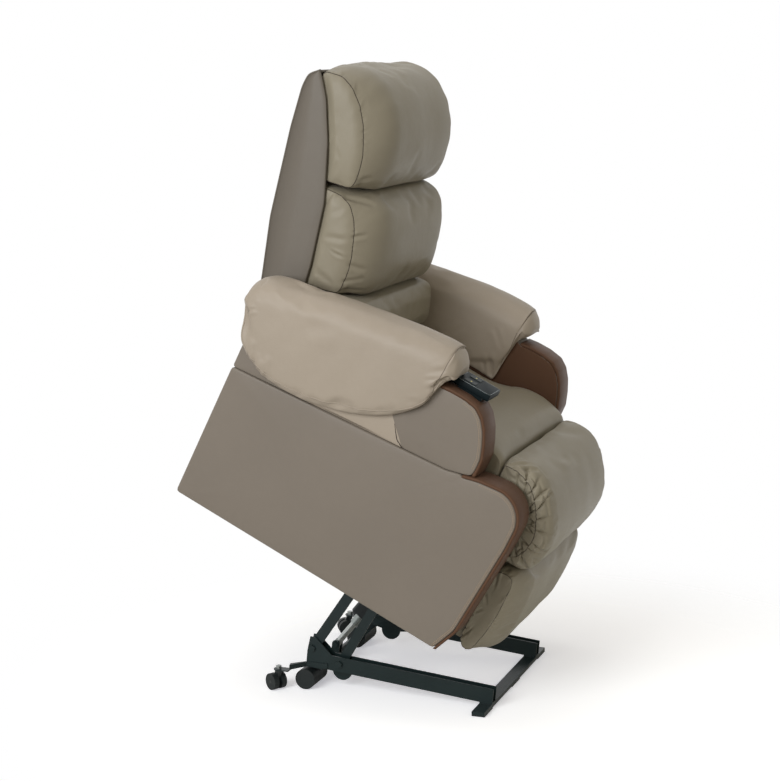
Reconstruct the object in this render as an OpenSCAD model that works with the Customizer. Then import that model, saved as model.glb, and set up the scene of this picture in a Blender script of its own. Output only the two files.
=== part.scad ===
// Power lift recliner, shown raised: the seat stands tipped forward on its lift links.
// Lengths are in millimetres. X runs across the seat, the chair faces -Y and Z is up.
// The origin is on the floor, under the middle of the front foot bar.
// Right means the sitter's right, which is -X.

/* [Base] */
// Length of the front foot bar, side to side
foot_bar_w = 556; // [540:2:572]
// Depth of the front foot bar, front to back
foot_bar_d = 34; // [28:1:44]
// Thickness of the front foot bar
foot_bar_t = 9; // [6:1:12]
// Thickness of the rubber pads under the foot bar
foot_pad_t = 3; // [2:0.5:5]
// Distance over the outsides of the two base rails
base_w = 427; // [420:1:434]
// Length of a base rail
rail_len = 510; // [504:1:520]
// Height of a base rail
rail_h = 40; // [38:1:44]
// Width of a base rail
rail_w = 28; // [26:1:32]
// Wall of the base rails, which are open channels
rail_wall = 3; // [2:0.5:3.5]
// Slope of the base rails, up towards the rear
base_slope = 5.45; // [4.5:0.1:6.5]
// Wall of the steel tubes
tube_wall = 2.5; // [1.5:0.5:4]

/* [Rollers and castors] */
// Radius of the rear rollers
roller_r = 27; // [24:0.5:28]
// Length of a rear roller
roller_len = 90; // [70:1:95]
// Radius of the castor wheels
castor_r = 22; // [20:0.5:24]
// Width of one castor wheel
castor_wheel_w = 14; // [10:1:15]
// Angle to which the castors are swivelled
castor_yaw = -32; // [-60:1:60]

/* [Lift links] */
// Length of the rear lift links, pivot to pivot
rear_link_len = 350; // [340:1:360]
// Length of the front lift links, pivot to pivot
front_link_len = 335; // [328:1:342]
// Direction of the raised rear links, from the floor's rear side
rear_link_angle = 124.3; // [122:0.1:127]
// Direction of the raised front links, from the floor's rear side
front_link_angle = 120.5; // [119:0.1:123]
// Width of the rear lift links
rear_link_w = 27; // [24:1:29]
// Width of the front lift links
front_link_w = 25; // [22:1:27]
// Thickness of the lift links
link_t = 8; // [6:0.5:9]
// Radius of the pivot bolts
bolt_r = 6; // [5:0.5:7]
// Angle by which the raised seat is tipped forward
lift_tilt = 26.5; // [25:0.5:28]

/* [Arms] */
// Depth of an arm, front to back
arm_depth = 820; // [810:5:840]
// Height of the lower arm panel at the rear
arm_rear_h = 366; // [355:1:375]
// Height of the lower arm panel at its front shoulder
arm_front_h = 445; // [438:1:452]
// Thickness of a lower arm panel
arm_t = 87; // [84:1:95]
// Clear width between the lower arm panels
between_arms = 596; // [592:1:604]
// Radius of the lower arm's front shoulder
arm_shoulder_r = 80; // [60:1:90]
// Thickness of the brown band round the arm's front
band_t = 7; // [4:0.5:10]
// Height of the arm's top at the front
arm_top_h = 598; // [590:1:606]
// Width of an arm pillow
arm_pillow_w = 127; // [124:1:130]
// Height of an arm pillow, from its lowest drape to its crown
arm_pillow_h = 300; // [290:2:310]

/* [Seat] */
// Height of the seat cushion's top above the arms' lower edge
seat_h = 482; // [476:1:486]
// Width of the seat cushion
seat_w = 580; // [560:2:586]
// Thickness of the seat cushion
seat_t = 147; // [130:1:150]
// Distance of the seat's front seam from the arms' rear edge
seat_front = 701; // [690:1:706]
// How far the front roll reaches, from the arms' rear edge
roll_front = 884; // [870:1:895]

/* [Back] */
// Lean of the upright back, from the vertical of the seat
back_lean = 11.5; // [10:0.5:13]
// Width of the back over its side panels
back_w = 544; // [536:2:548]
// Height of the back above its hinge
back_h = 815; // [790:5:840]
// Thickness of the back's side panels
wing_t = 10; // [8:1:14]
// Depth of the head pillow
head_depth = 196; // [170:2:220]
// Depth of the middle pillow
middle_depth = 236; // [200:2:250]
// Depth of the lower pillow
lumbar_depth = 280; // [240:2:290]

/* [Footrest] */
// Width of the footrest board
board_w = 540; // [500:5:560]
// Width of the footrest pad
pad_w = 560; // [520:5:570]

/* [Handset] */
// Width of the handset, side to side
handset_w = 88; // [80:1:92]
// Length of the handset
handset_len = 94; // [86:1:96]
// Thickness of the handset
handset_t = 17; // [14:1:20]
// Travel of a handset button
button_travel = 2; // [1.5:0.1:2.5]

/* [Hidden] */

// Colours
steel = [0.12, 0.16, 0.16];
rubber = [0.08, 0.09, 0.09];
silver = [0.72, 0.74, 0.74];
taupe = [0.50, 0.46, 0.42];
brown = [0.40, 0.31, 0.26];
beige = [0.66, 0.60, 0.54];
pillow_grey = [0.54, 0.50, 0.45];
timber = [0.72, 0.58, 0.40];
strap_grey = [0.35, 0.33, 0.30];
gloss_black = [0.09, 0.11, 0.12];

// Shared clearances and overruns
cut = 1;              // overrun of a cut past a surface
run_gap = 0.05;       // radial gap of a bolt or rod in its bore
soft_gap = 0.3;       // gap between a soft piece and a neighbour
smooth = 48;          // sides of a round face

// Base, in the frame of the sloping rails unless said otherwise
foot_h = foot_bar_t + foot_pad_t;
foot_pad_len = 70;
rail_out = base_w / 2;
rail_in = rail_out - rail_w;
rear_pivot = [497, 49];        // along the rail and above its underside
front_pivot = [419, 20];
gusset_reach = 56;             // forward from the rear pivot
gusset_rise = 31;              // above the rear pivot
gusset_top_w = 16;
boss_r = 27;                   // rounded plate under the front pivot
boss_drop = 4;                 // its centre, below the rail
boss_w = 95;
boss_t = 4;
bolt_head_t = 5;
bolt_head_r = 10;

// Rear rollers and castors, in the floor's frame
roller_y = 488;
roller_end = 229.5;            // outer face of a roller, from the middle
axle_r = 6;
axle_stop = 12;                // from a roller's outer face to its axle's end
hanger_t = 4;
hanger_r = 13;
flange_t = 3;                  // plate that carries a roller under the rail
flange_from = 462;             // along the rail
cross_tube_r = 11;
castor_at = [254, 551];
castor_gap = 10;               // between the two wheels of a castor
castor_trail = 12;
castor_plate_z = 55;
castor_plate_t = 3;
castor_plate_w = 26;
castor_plate_reach = 31;       // from the stem forward
castor_stem_r = 5;
castor_nut_r = 8;
castor_nut_h = 8;
castor_axle_r = 4;
castor_hub_w = 9;
castor_hub_r = 13;
strip_t = 3;
strip_h = 13;
strip_from = 430;
strip_bend = 489;

// Lift motor, along its own line from the lower pin
lift_foot_at = [484, 60];      // lower pin, in the floor's frame
lift_x = -10;
lift_pin_r = 5;
lug_t = 5;
lug_r = 11;
eye_r = 10;
eye_w = 14;
rod_r = 9;
rod_len = 125;
lift_tube_r = 13;
lift_tube_from = 80;
lift_tube_len = 32;
gearbox_len = 42;
gearbox_h = 44;
gearbox_w = 40;
tail_len = 21;
tail_bore = 55;
motor_r = 19;
motor_len = 66;
motor_side = 38;
motor_up = 14;
yoke_h = 20;
yoke_w = 14;
yoke_slack = 4.6;              // play of the yoke round its pin
yoke_eye_r = 13;
link_tube_at = 198;            // along the rear links
link_tube_r = 12;
link_lug = 41;                 // the pin's distance from the link tube

// Seat carriage, in the frame of the seat: forward distances count from the arms' rear edge
rear_link_top = [508, 88];
rear_link_x = 200.5;           // planes of the links, from the middle
front_link_x = 190.5;
carriage_in = 212;             // inner face of the side plates
carriage_t = 6;
carriage_low = 156;
strap_t = 2;                    // thickness of the seat webbing
timber_h = 82.7;                // height of the seat rails
carriage_high = seat_h - seat_t - strap_t - soft_gap - timber_h;
carriage_front_f = 701;
carriage_rear_f = 12;
lobe_r = 26;
lobe_from = 440;
lobe_to = 640;
nose_z = 200;
stub_r = 5;
stub_gap = 0.3;
tube_side = 30;                // square cross tubes
front_tube = [612, 201];
rear_tube = [150, 173];
recline_lug = [583, 201];      // the recline motor's front pin
hinge_r = 22;
hinge_w = 30;                  // back hinge, forward of the back's origin
back_origin_z = 300;
timber_w = 20;
seat_rear_rail_f = 130;
strap_w = 50;
strap_count = 5;
strap_pitch = 105;

// Arms
arm_in = between_arms / 2;
arm_out = arm_in + arm_t;
toe_back = 55;                 // the toe's cut, from the arm's front
toe_rise = 67;
toe_lean = 19;
top_slope = 0.083;             // rise of the lower arm's top per length
top_run = 600;                 // length of the top that is straight
shoulder_f = 683;
shoulder_drop = 7;
front_low = 315;               // where the front begins to lean back
band_from = 640;
upper_set = 4.6;               // how far the upper arm stands in from the lower one
upper_in = arm_in - upper_set;
upper_out = arm_out - upper_set;
upper_rise = 67;               // the upper arm's top at the front, above its rear end
upper_top = [522, 550];        // the level part of that top
upper_low = 434;
upper_front_f = 667;
upper_curve_shares = [[0.3419, 0.9635], [0.5385, 0.8661], [0.7009, 0.6956], [0.8376, 0.513], [0.9744, 0.2878], [1, 0.093]];
pillow_shell = 20;             // how far a pillow stands out from its arm
pillow_inner_share = 0.653;     // drop of the pillow's inner side below its crown
pillow_round = 22;
// Stations along a pillow, all as shares: place along the arm's depth, drop of its top and of its
// outer lower edge below the crown, its width, and whether it straddles the arm there
pillow_end_shares = [[-0.0439, 0.3433, 0.4867, 0.6, 0], [-0.0220, 0.2633, 0.6200, 0.82, 0],
  [-0.0061, 0.2467, 0.6767, 0.8, 0], [-0.0004, 0.2433, 0.7033, 0.81, 1],
  [0.0122, 0.2367, 0.7567, 0.88, 1], [0.061, 0.19, 0.8967, 0.97, 1], [0.1341, 0.16, 0.9733, 1, 1],
  [0.2073, 0.12, 0.99, 1, 1], [0.3354, 0.06, 0.9033, 1, 1], [0.4598, 0.02, 0.8133, 1, 1],
  [0.5427, 0, 0.7, 0.98, 1], [0.5927, 0, 0.5, 0.93, 1], [0.6159, 0.01, 0.2833, 0.8, 0],
  [0.6341, 0.0367, 0.15, 0.45, 0]];
pillow_crown = 689;
rear_panel_t = 12;
rear_panel_low = 60;
rear_panel_high = carriage_high;

// Seat
roll_w = 570;
roll_crown = 497;
roll_low = 236;
roll_shares = [[0, 0.2602], [0, 1], [0.2678, 1.0325], [0.5246, 0.9837], [0.7049, 0.878], [0.8525, 0.7358],
  [0.9672, 0.5854], [1, 0.4634], [0.9781, 0.2602], [0.8962, 0.0366], [0.8142, 0.0081], [0.541, 0]];
roll_mid_share = 0.4634;
foot_pivot = [792, 382];       // swing axis of the footrest
foot_pin = 20;                 // how deep its pins run into the arms
foot_pin_r = 6;
foot_link_t = 5;
foot_link_r = 13;
foot_link_in = 288;
foot_bar_z = [60, 180];        // two bars behind the footrest board
foot_bar_h = 24;
foot_bar_thick = 12;
board_f = 786;
board_t = 12;
board_low = 12;
board_high = 222;
pad_depth = 91;
pad_low = -8;
pad_high = 236;
pad_shares = [[0, 0.9549], [0.7363, 1], [0.956, 0.8525], [1, 0.6475], [0.978, 0.2787], [0.8132, 0.0492],
  [0.6264, 0], [0.4396, 0.0123], [0.1538, 0.0533], [0, 0.1066]];   // forward of the board's face
pad_mid_share = 0.4918;

// Back, in its own leaning frame: forward and up from its origin
shell_t = 12;
shell_rear_shares = [[-0.3304, 0.0344], [-0.3304, 0.3362], [-0.9783, 0.5301], [-1, 0.811], [-0.7652, 0.9362],
  [-0.3913, 0.9804], [0.8696, 1.0074]];
shell_inner_shares = [[0.8696, 0.9914], [0.0435, 0.9693], [-0.2435, 0.9325], [-0.4783, 0.811], [-0.4565, 0.5301],
  [0.1913, 0.3362], [0.1913, 0.0344]];
wing_front_shares = [[0.5234, 1.0012], [0.243, 0.9767], [0.7477, 0.7681], [1, 0.4209], [0.9626, 0.3583], [0.8411, 0.0344]];
shell_depth = 23;               // how far the shell reaches behind the back's origin
wing_reach = 107;               // how far the side panels reach forward
function up_back(shares, reach) = [for (p = shares) [p[0] * reach, p[1] * back_h]];
post_w = 22;
post_rear_shares = [[1, 0.9362], [-0.3125, 0.9362], [-0.5938, 0.811], [-0.5813, 0.5301], [0.3375, 0.3362],
  [0.3375, 0.0736], [0.75, 0]];
frame_rail_shares = [[0.0552, 0.1043], [0.4908, 0.5399], [0.8871, 0.9362]];
frame_rails = frame_rail_shares * back_h;
frame_rail_w = 6;              // how far the frame rails reach behind the board
board_face = 21;               // front face of the back board
back_board_t = 5;
back_board_low_share = 0.0859;
back_board_low = back_board_low_share * back_h;
board_gap = 20;                 // between the board and the side panels's inner faces
back_board_w = back_w - 2 * wing_t - 2 * board_gap;
pillow_half = back_w / 2 - wing_t - 1.67 * soft_gap;
pillow_rear = board_face + 1.67 * soft_gap;
head_low_share = 0.6933;
head_low = head_low_share * back_h;
head_h_share = 0.3288;
head_h = head_h_share * back_h;
middle_low_share = 0.3632;
middle_low = middle_low_share * back_h;
middle_h_share = 0.3276;
middle_h = middle_h_share * back_h;
lumbar_low_share = 0.2025;
lumbar_low = lumbar_low_share * back_h;
lumbar_h_share = 0.1583;
lumbar_h = lumbar_h_share * back_h;
head_shares = [[0, 0.03], [0, 0.93], [0.1, 0.985], [0.26, 1], [0.45, 0.985], [0.64, 0.92],
  [0.84, 0.75], [0.95, 0.57], [1, 0.38], [0.985, 0.2], [0.9, 0.07], [0.75, 0], [0.3, 0]];
middle_shares = [[0, 0.02], [0, 0.98], [0.35, 1], [0.695, 1], [0.869, 0.878], [0.97, 0.64],
  [1, 0.379], [0.951, 0.148], [0.8, 0.02], [0.3, 0]];
lumbar_shares = [[0, 0.233], [0, 0.97], [0.3, 1], [0.8, 1], [0.865, 0.97], [0.925, 0.8], [0.965, 0.5],
  [1, 0.25], [0.985, 0.1], [0.93, 0.02], [0.8, 0], [0.6, 0.02], [0.3, 0.1]];
post_in = back_board_w / 2 - post_w;
post_step = 4;                  // the post's foot is this much smaller than the hinge boss
lever_foot = 20;                // height at which the levers leave the lower rail
lever_len = 104;
lever_t = 6;
lever_x = 60;                  // the recline motor's line, from the middle
recline_slack = 5.2;           // play of the rod's eye on the lever pin
recline_pin_r = 5;
recline_eye_r = 13;
recline_rod_r = 7;
recline_rod_len = 250;
recline_tube_r = 14;
recline_tube_from = 70;
recline_tube_len = 275;
recline_box = [15, 72];        // gearbox, along the motor
recline_box_w = 44;
recline_box_low = 58;
recline_motor_drop = 36;
recline_motor_len = 90;

// Handset and its holder
handset_out = 345;             // outer side of the handset, from the middle
handset_back_f = 513;
handset_low = 603;
holder_f = [525, 590];
holder_x = [299, 341];
button_x = [322, 281];
button_f = 545;
button_w = 20;
button_len = 30;
button_h = 5;
button_stand = 1.6;            // button's height above the case
button_gap = 0.4;

// Power box under the seat
box_x = [-150, -20];
box_f = [105, 190];
box_h = 44;
socket_r = 9;
socket_depth = 14;

// Turns a point of the (Y, Z) plane about the origin
function turn(p, a) = [p[0] * cos(a) - p[1] * sin(a), p[0] * sin(a) + p[1] * cos(a)];
function arc(c, r, a0, a1, n) = [for (i = [0:n]) c + r * [cos(a0 + (a1 - a0) * i / n), sin(a0 + (a1 - a0) * i / n)]];
function ahead(points) = [for (p = points) [-p[0], p[1]]];
function dir(a) = [cos(a), sin(a)];

// Places of the lift's pivots on the floor's (Y, Z) plane
rail_start = [-foot_bar_d / 2, foot_h];
function on_rail(p) = rail_start + turn(p, base_slope);
rear_foot = on_rail(rear_pivot);
front_foot = on_rail(front_pivot);
rear_top = rear_foot + rear_link_len * dir(rear_link_angle);
front_top = front_foot + front_link_len * dir(front_link_angle);
seat_at = rear_top - turn([-rear_link_top[0], rear_link_top[1]], lift_tilt);
front_link_top = turn(front_top - seat_at, -lift_tilt);
link_tube_place = rear_foot + link_tube_at * dir(rear_link_angle);
lift_pin_at = link_tube_place + link_lug * dir(rear_link_angle + 90);
lift_span = norm(lift_pin_at - lift_foot_at);
lift_angle = atan2(lift_pin_at[1] - lift_foot_at[1], lift_pin_at[0] - lift_foot_at[0]);

// Places in the frame of the seat
rear_link_pin = ahead([rear_link_top])[0];
timber_top = seat_h - seat_t - soft_gap - strap_t;
hinge_at = [0, back_origin_z] + turn([-hinge_w, 0], -back_lean);
lever_pin_at = [0, back_origin_z] + turn([-hinge_w, -lever_len], -back_lean);
recline_lug_at = ahead([recline_lug])[0];
recline_span = norm(lever_pin_at - recline_lug_at);
recline_angle = atan2(lever_pin_at[1] - recline_lug_at[1], lever_pin_at[0] - recline_lug_at[0]);
pillow_out = arm_out + pillow_shell;

// Frames of the moving groups at rest
module in_plane(p) { translate([0, p[0], p[1]]) children(); }
module base_frame() { in_plane(rail_start) rotate([base_slope, 0, 0]) children(); }
module seat_frame() { in_plane(seat_at) rotate([lift_tilt, 0, 0]) children(); }
module lift_frame() { in_plane(lift_foot_at) rotate([lift_angle, 0, 0]) children(); }
module back_place() { seat_frame() in_plane([0, back_origin_z]) rotate([-back_lean, 0, 0]) children(); }
module recline_frame() { seat_frame() in_plane(recline_lug_at) rotate([recline_angle, 0, 0]) children(); }
module handed(side) { if (side < 0) mirror([1, 0, 0]) children(); else children(); }

// A plate or prism: an outline in the (Y, Z) plane, run along X from x0
module prism(points, x0, t) {
  translate([x0, 0, 0]) rotate([90, 0, 90]) linear_extrude(t) polygon(points);
}
// A round bar along X
module bar_x(p, r, x0, x1) {
  translate([x0, p[0], p[1]]) rotate([0, 90, 0]) cylinder(r = r, h = x1 - x0, $fn = smooth);
}
// A block given by its lowest and highest corners
module block(low, high) { translate(low) cube(high - low); }
// A closed skin over rings that each hold as many points
module skin(rings) {
  n = len(rings[0]);
  m = len(rings);
  walls = [for (i = [0:m - 2], j = [0:n - 1]) [i * n + j, i * n + (j + 1) % n,
    (i + 1) * n + (j + 1) % n, (i + 1) * n + j]];
  first = [for (j = [n - 1:-1:0]) j];
  last = [for (j = [0:n - 1]) (m - 1) * n + j];
  polyhedron([for (r = rings) each r], concat([first], walls, [last]));
}
// A cushion across the seat: an outline that shrinks about a point near its two ends
end_shares = [[-1, 0.84], [-0.985, 0.9], [-0.94, 0.955], [-0.82, 0.99], [-0.5, 1],
  [0.5, 1], [0.82, 0.99], [0.94, 0.955], [0.985, 0.9], [1, 0.84]];
module bolster(points, centre, half_w) {
  skin([for (s = end_shares) [for (p = points)
    [s[0] * half_w, centre[0] + (p[0] - centre[0]) * s[1], centre[1] + (p[1] - centre[1]) * s[1]]]]);
}

module front_foot_bar() {
  color(steel) block([-foot_bar_w / 2, -foot_bar_d / 2, foot_pad_t], [foot_bar_w / 2, foot_bar_d / 2, foot_h]);
}
module foot_pads() {
  color(rubber) for (side = [-1, 0, 1])
    block([side * (foot_bar_w - foot_pad_len) / 2 - foot_pad_len / 2, -foot_bar_d / 2, 0],
      [side * (foot_bar_w - foot_pad_len) / 2 + foot_pad_len / 2, foot_bar_d / 2, foot_pad_t]);
}

rail_side = [[0, 0], [rail_len, 0], [rail_len, rail_h],
  [rear_pivot[0] + gusset_top_w / 2, rear_pivot[1] + gusset_rise],
  [rear_pivot[0] - gusset_top_w / 2, rear_pivot[1] + gusset_rise],
  [rear_pivot[0] - gusset_reach, rail_h], [0, rail_h]];
boss_side = concat([[front_pivot[0] + boss_w / 2, 0], [front_pivot[0] + boss_w / 2, 0.6 * rail_h],
  [front_pivot[0] - boss_w / 2, 0.6 * rail_h], [front_pivot[0] - boss_w / 2, 0]],
  arc([front_pivot[0], -boss_drop], boss_r, 180, 360, 16));
foot_wedge = [[0, 0], turn([foot_bar_d, 0], -base_slope), [foot_bar_d, rail_wall], [0, rail_wall]];
module base_rail(side) {
  color(steel) handed(side) base_frame() difference() {
    union() {
      block([rail_in, 0, 0], [rail_out, rail_len, rail_wall]);
      for (x = [rail_in, rail_out - rail_wall]) prism(rail_side, x, rail_wall);
      prism(foot_wedge, rail_in, rail_w);
      prism(boss_side, rail_in - boss_t, boss_t);
    }
    for (p = [rear_pivot, front_pivot])
      bar_x(p, bolt_r + run_gap, rail_in - boss_t - cut, rail_out + cut);
  }
}
// A bolt along X with a hexagon at each end
module bolt(p, r, x0, x1) {
  bar_x(p, r, x0, x1);
  for (x = [x0 - bolt_head_t, x1])
    translate([x, p[0], p[1]]) rotate([0, 90, 0]) cylinder(r = r / bolt_r * bolt_head_r, h = bolt_head_t, $fn = 6);
}
module base_pivot_bolts() {
  color(silver) {
    for (side = [-1, 1]) handed(side) base_frame() {
      bolt(rear_pivot, bolt_r, rail_in, rail_out);
      bolt(front_pivot, bolt_r, rail_in - boss_t, rail_out);
    }
    bolt(lift_foot_at, lift_pin_r, lift_x - eye_w / 2 - cut - lug_t, lift_x + eye_w / 2 + cut + lug_t);
  }
}
roller_at = [roller_y, roller_r];
roller_in = roller_end - roller_len;
hanger_x = roller_in - cut - hanger_t;
lift_lug = concat(arc(roller_at, lug_r, 180, 360, 12), arc(lift_foot_at, lug_r, 0, 180, 12));
module rear_cross_tube() {
  color(steel) {
    difference() {
      bar_x(roller_at, cross_tube_r, -hanger_x, hanger_x);
      bar_x(roller_at, cross_tube_r - tube_wall, -hanger_x - cut, hanger_x + cut);
    }
    for (x = [lift_x - eye_w / 2 - cut - lug_t, lift_x + eye_w / 2 + cut]) difference() {
      prism(lift_lug, x, lug_t);
      bar_x(roller_at, cross_tube_r, x - cut, x + lug_t + cut);
      bar_x(lift_foot_at, lift_pin_r + run_gap, x - cut, x + lug_t + cut);
    }
  }
}
hanger_side = let (c = turn(roller_at - rail_start, -base_slope))
  concat([[rail_len, 0], [flange_from, 0]], arc(c, hanger_r, 200, 380, 12));
module castor_bracket(side) {
  plate_top = castor_plate_z + castor_plate_t;
  color(steel) handed(side) {
    base_frame() {
      block([hanger_x, flange_from, -flange_t], [rail_out, rail_len, 0]);
      prism(hanger_side, hanger_x, hanger_t);
    }
    bar_x(roller_at, axle_r, hanger_x + hanger_t / 2, roller_end - axle_stop);
    difference() {
      union() {
        block([castor_at[0] - castor_plate_w / 2, castor_at[1] - castor_plate_reach, castor_plate_z],
          [castor_at[0] + castor_plate_w / 2, castor_at[1], plate_top]);
        translate([castor_at[0], castor_at[1], castor_plate_z])
          cylinder(d = castor_plate_w, h = castor_plate_t, $fn = smooth);
      }
      translate([castor_at[0], castor_at[1], castor_plate_z - cut])
        cylinder(r = castor_stem_r + run_gap, h = castor_plate_t + 2 * cut, $fn = smooth);
    }
    translate([0, 0, plate_top]) linear_extrude(strip_h) polygon([[rail_out, strip_from],
      [rail_out + strip_t, strip_from], [rail_out + strip_t, strip_bend],
      [castor_at[0] + strip_t, castor_at[1] - castor_plate_reach],
      [castor_at[0] - castor_plate_w / 2, castor_at[1] - castor_plate_reach + strip_t],
      [rail_out, strip_bend + strip_t]]);
  }
}

module rear_roller(side) {
  color(rubber) handed(side) difference() {
    bar_x(roller_at, roller_r, roller_in, roller_end);
    bar_x(roller_at, axle_r + run_gap, roller_in - cut, roller_end - axle_stop + run_gap);
  }
}
module castor_frame() { translate([castor_at[0], castor_at[1], 0]) rotate([0, 0, -castor_yaw]) children(); }
castor_pin = [castor_trail, castor_r];
fork_side = concat(arc(castor_pin, castor_hub_r, 240, 400, 12),
  [[castor_nut_r, castor_plate_z - cut / 2], [-castor_nut_r, castor_plate_z - cut / 2]]);
module castor_fork(side) {
  color(steel) handed(side) castor_frame() {
    prism(fork_side, -castor_hub_w / 2, castor_hub_w);
    translate([0, 0, castor_plate_z - 2 * castor_stem_r])
      cylinder(r = castor_stem_r, h = 2 * castor_stem_r + castor_plate_t + castor_nut_h, $fn = smooth);
    translate([0, 0, castor_plate_z + castor_plate_t + cut / 2])
      cylinder(r = castor_nut_r, h = castor_nut_h - cut / 2, $fn = 6);
    bar_x(castor_pin, castor_axle_r, -castor_gap / 2 - castor_wheel_w, castor_gap / 2 + castor_wheel_w);
  }
}
module castor_wheels(side) {
  color(rubber) handed(side) castor_frame() for (x = [-castor_gap / 2 - castor_wheel_w, castor_gap / 2])
    difference() {
      bar_x(castor_pin, castor_r, x, x + castor_wheel_w);
      bar_x(castor_pin, castor_axle_r + run_gap, x - cut, x + castor_wheel_w + cut);
    }
}

// A flat link between two pins, with a bore at each
module link(low, high, angle, w, x0) {
  difference() {
    prism(concat(arc(low, w / 2, angle + 90, angle + 270, 20), arc(high, w / 2, angle - 90, angle + 90, 20)), x0, link_t);
    for (p = [low, high]) bar_x(p, bolt_r + run_gap, x0 - cut, x0 + link_t + cut);
  }
}
module rear_link(side) {
  color(steel) handed(side) link(rear_foot, rear_top, rear_link_angle, rear_link_w, rear_link_x);
}
module front_link(side) {
  color(steel) handed(side) link(front_foot, front_top, front_link_angle, front_link_w, front_link_x);
}
lug_a = rear_link_angle;
module rear_link_tube() {
  color(steel) {
    difference() {
      bar_x(link_tube_place, link_tube_r, -rear_link_x, rear_link_x);
      bar_x(link_tube_place, link_tube_r - tube_wall, -rear_link_x - cut, rear_link_x + cut);
    }
    for (x = [lift_x - yoke_w / 2 - cut - lug_t, lift_x + yoke_w / 2 + cut]) difference() {
      prism(concat(arc(lift_pin_at, lug_r, lug_a, lug_a + 180, 12),
        [link_tube_place - lug_r * dir(lug_a), link_tube_place + lug_r * dir(lug_a)]), x, lug_t);
      bar_x(link_tube_place, link_tube_r - tube_wall, x - cut, x + lug_t + cut);
    }
    bar_x(lift_pin_at, lift_pin_r, lift_x - yoke_w / 2 - cut - lug_t, lift_x + yoke_w / 2 + cut + lug_t);
  }
}
// A round bar along a motor's own line
module along(r, y0, y1) { translate([0, y0, 0]) rotate([-90, 0, 0]) cylinder(r = r, h = y1 - y0, $fn = smooth); }
module lift_rod() {
  color(silver) lift_frame() translate([lift_x, 0, 0]) difference() {
    union() {
      bar_x([0, 0], eye_r, -eye_w / 2, eye_w / 2);
      block([-eye_w / 2, 0, -0.8 * rod_r], [eye_w / 2, lug_r + 2 * cut, 0.8 * rod_r]);
      along(rod_r, lug_r + cut, rod_len);
    }
    bar_x([0, 0], lift_pin_r + run_gap, -eye_w / 2 - cut, eye_w / 2 + cut);
  }
}
gearbox_at = lift_tube_from + lift_tube_len;
module lift_tube() {
  color(silver) lift_frame() translate([lift_x, 0, 0]) difference() {
    along(lift_tube_r, lift_tube_from, gearbox_at);
    along(rod_r + run_gap, lift_tube_from - cut, gearbox_at + cut);
  }
}
module lift_motor() {
  color(gloss_black) lift_frame() translate([lift_x, 0, 0]) difference() {
    union() {
      block([-gearbox_w / 2, gearbox_at, -gearbox_h / 2], [gearbox_w / 2, gearbox_at + gearbox_len, gearbox_h / 2]);
      along(rod_r + 2 * tube_wall, gearbox_at, gearbox_at + gearbox_len + tail_len);
      block([-yoke_w / 2, gearbox_at + tail_bore + tube_wall, -yoke_h / 2], [yoke_w / 2, lift_span, yoke_h / 2]);
      bar_x([lift_span, 0], yoke_eye_r, -yoke_w / 2, yoke_w / 2);
      translate([motor_side, 0, -motor_up]) {
        along(motor_r, gearbox_at + gearbox_len - motor_len, gearbox_at + gearbox_len);
        along(0.75 * motor_r, gearbox_at + gearbox_len - motor_len - lug_t, gearbox_at);
      }
      block([0, gearbox_at, -gearbox_h / 2], [motor_side, gearbox_at + gearbox_len - cut, 0]);
    }
    along(rod_r + run_gap, gearbox_at - cut, gearbox_at + tail_bore);
    bar_x([lift_span, 0], lift_pin_r + yoke_slack, -yoke_w / 2 - cut, yoke_w / 2 + cut);
  }
}

carriage_side_outline = let (front_pin = [-front_link_top[0], front_link_top[1]])
  ahead(concat([[carriage_rear_f, carriage_low], [lobe_from, carriage_low]],
    arc(rear_link_top, lobe_r, 200, 270, 8), arc(front_pin, lobe_r, 270, 345, 8),
    [[lobe_to, carriage_low], [carriage_front_f, nose_z], [carriage_front_f, carriage_high],
     [-hinge_at[0] + hinge_r, carriage_high]], arc([-hinge_at[0], hinge_at[1]], hinge_r, 0, 180, 16),
    [[carriage_rear_f, carriage_high]]));
module carriage_side(side) {
  color(steel) handed(side) seat_frame() {
    difference() {
      prism(carriage_side_outline, carriage_in, carriage_t);
      for (p = [rear_link_pin, hinge_at]) bar_x(p, bolt_r + run_gap, carriage_in - cut, carriage_in + carriage_t + cut);
    }
    bar_x(front_link_top, stub_r, front_link_x + link_t + stub_gap, carriage_in + carriage_t / 2);
  }
}
module carriage_tubes() {
  color(steel) seat_frame() {
    for (c = ahead([front_tube, rear_tube])) difference() {
      block([-carriage_in, c[0] - tube_side / 2, c[1] - tube_side / 2], [carriage_in, c[0] + tube_side / 2, c[1] + tube_side / 2]);
      block([-carriage_in - cut, c[0] - tube_side / 2 + tube_wall, c[1] - tube_side / 2 + tube_wall],
        [carriage_in + cut, c[0] + tube_side / 2 - tube_wall, c[1] + tube_side / 2 - tube_wall]);
    }
    for (x = [lever_x - eye_w / 2 - cut - lug_t, lever_x + eye_w / 2 + cut])
      prism(concat(arc(recline_lug_at, lug_r, -90, 90, 12),
        [[tube_side / 2 - front_tube[0], recline_lug[1] + lug_r], [tube_side / 2 - front_tube[0], recline_lug[1] - lug_r]]), x, lug_t);
    bar_x(recline_lug_at, lift_pin_r, lever_x - eye_w / 2 - cut - lug_t, lever_x + eye_w / 2 + cut + lug_t);
  }
}
module carriage_bolts() {
  color(silver) for (side = [-1, 1]) handed(side) seat_frame() {
    bar_x(rear_link_pin, bolt_r, rear_link_x, carriage_in + carriage_t);
    translate([carriage_in + carriage_t, rear_link_pin[0], rear_link_pin[1]]) rotate([0, 90, 0])
      cylinder(r = bolt_head_r, h = bolt_head_t, $fn = 6);
    bolt(hinge_at, bolt_r, carriage_in, post_in + post_w);
    bar_x(ahead([foot_pivot])[0], foot_pin_r, foot_link_in, arm_in + foot_pin);
  }
}
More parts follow.
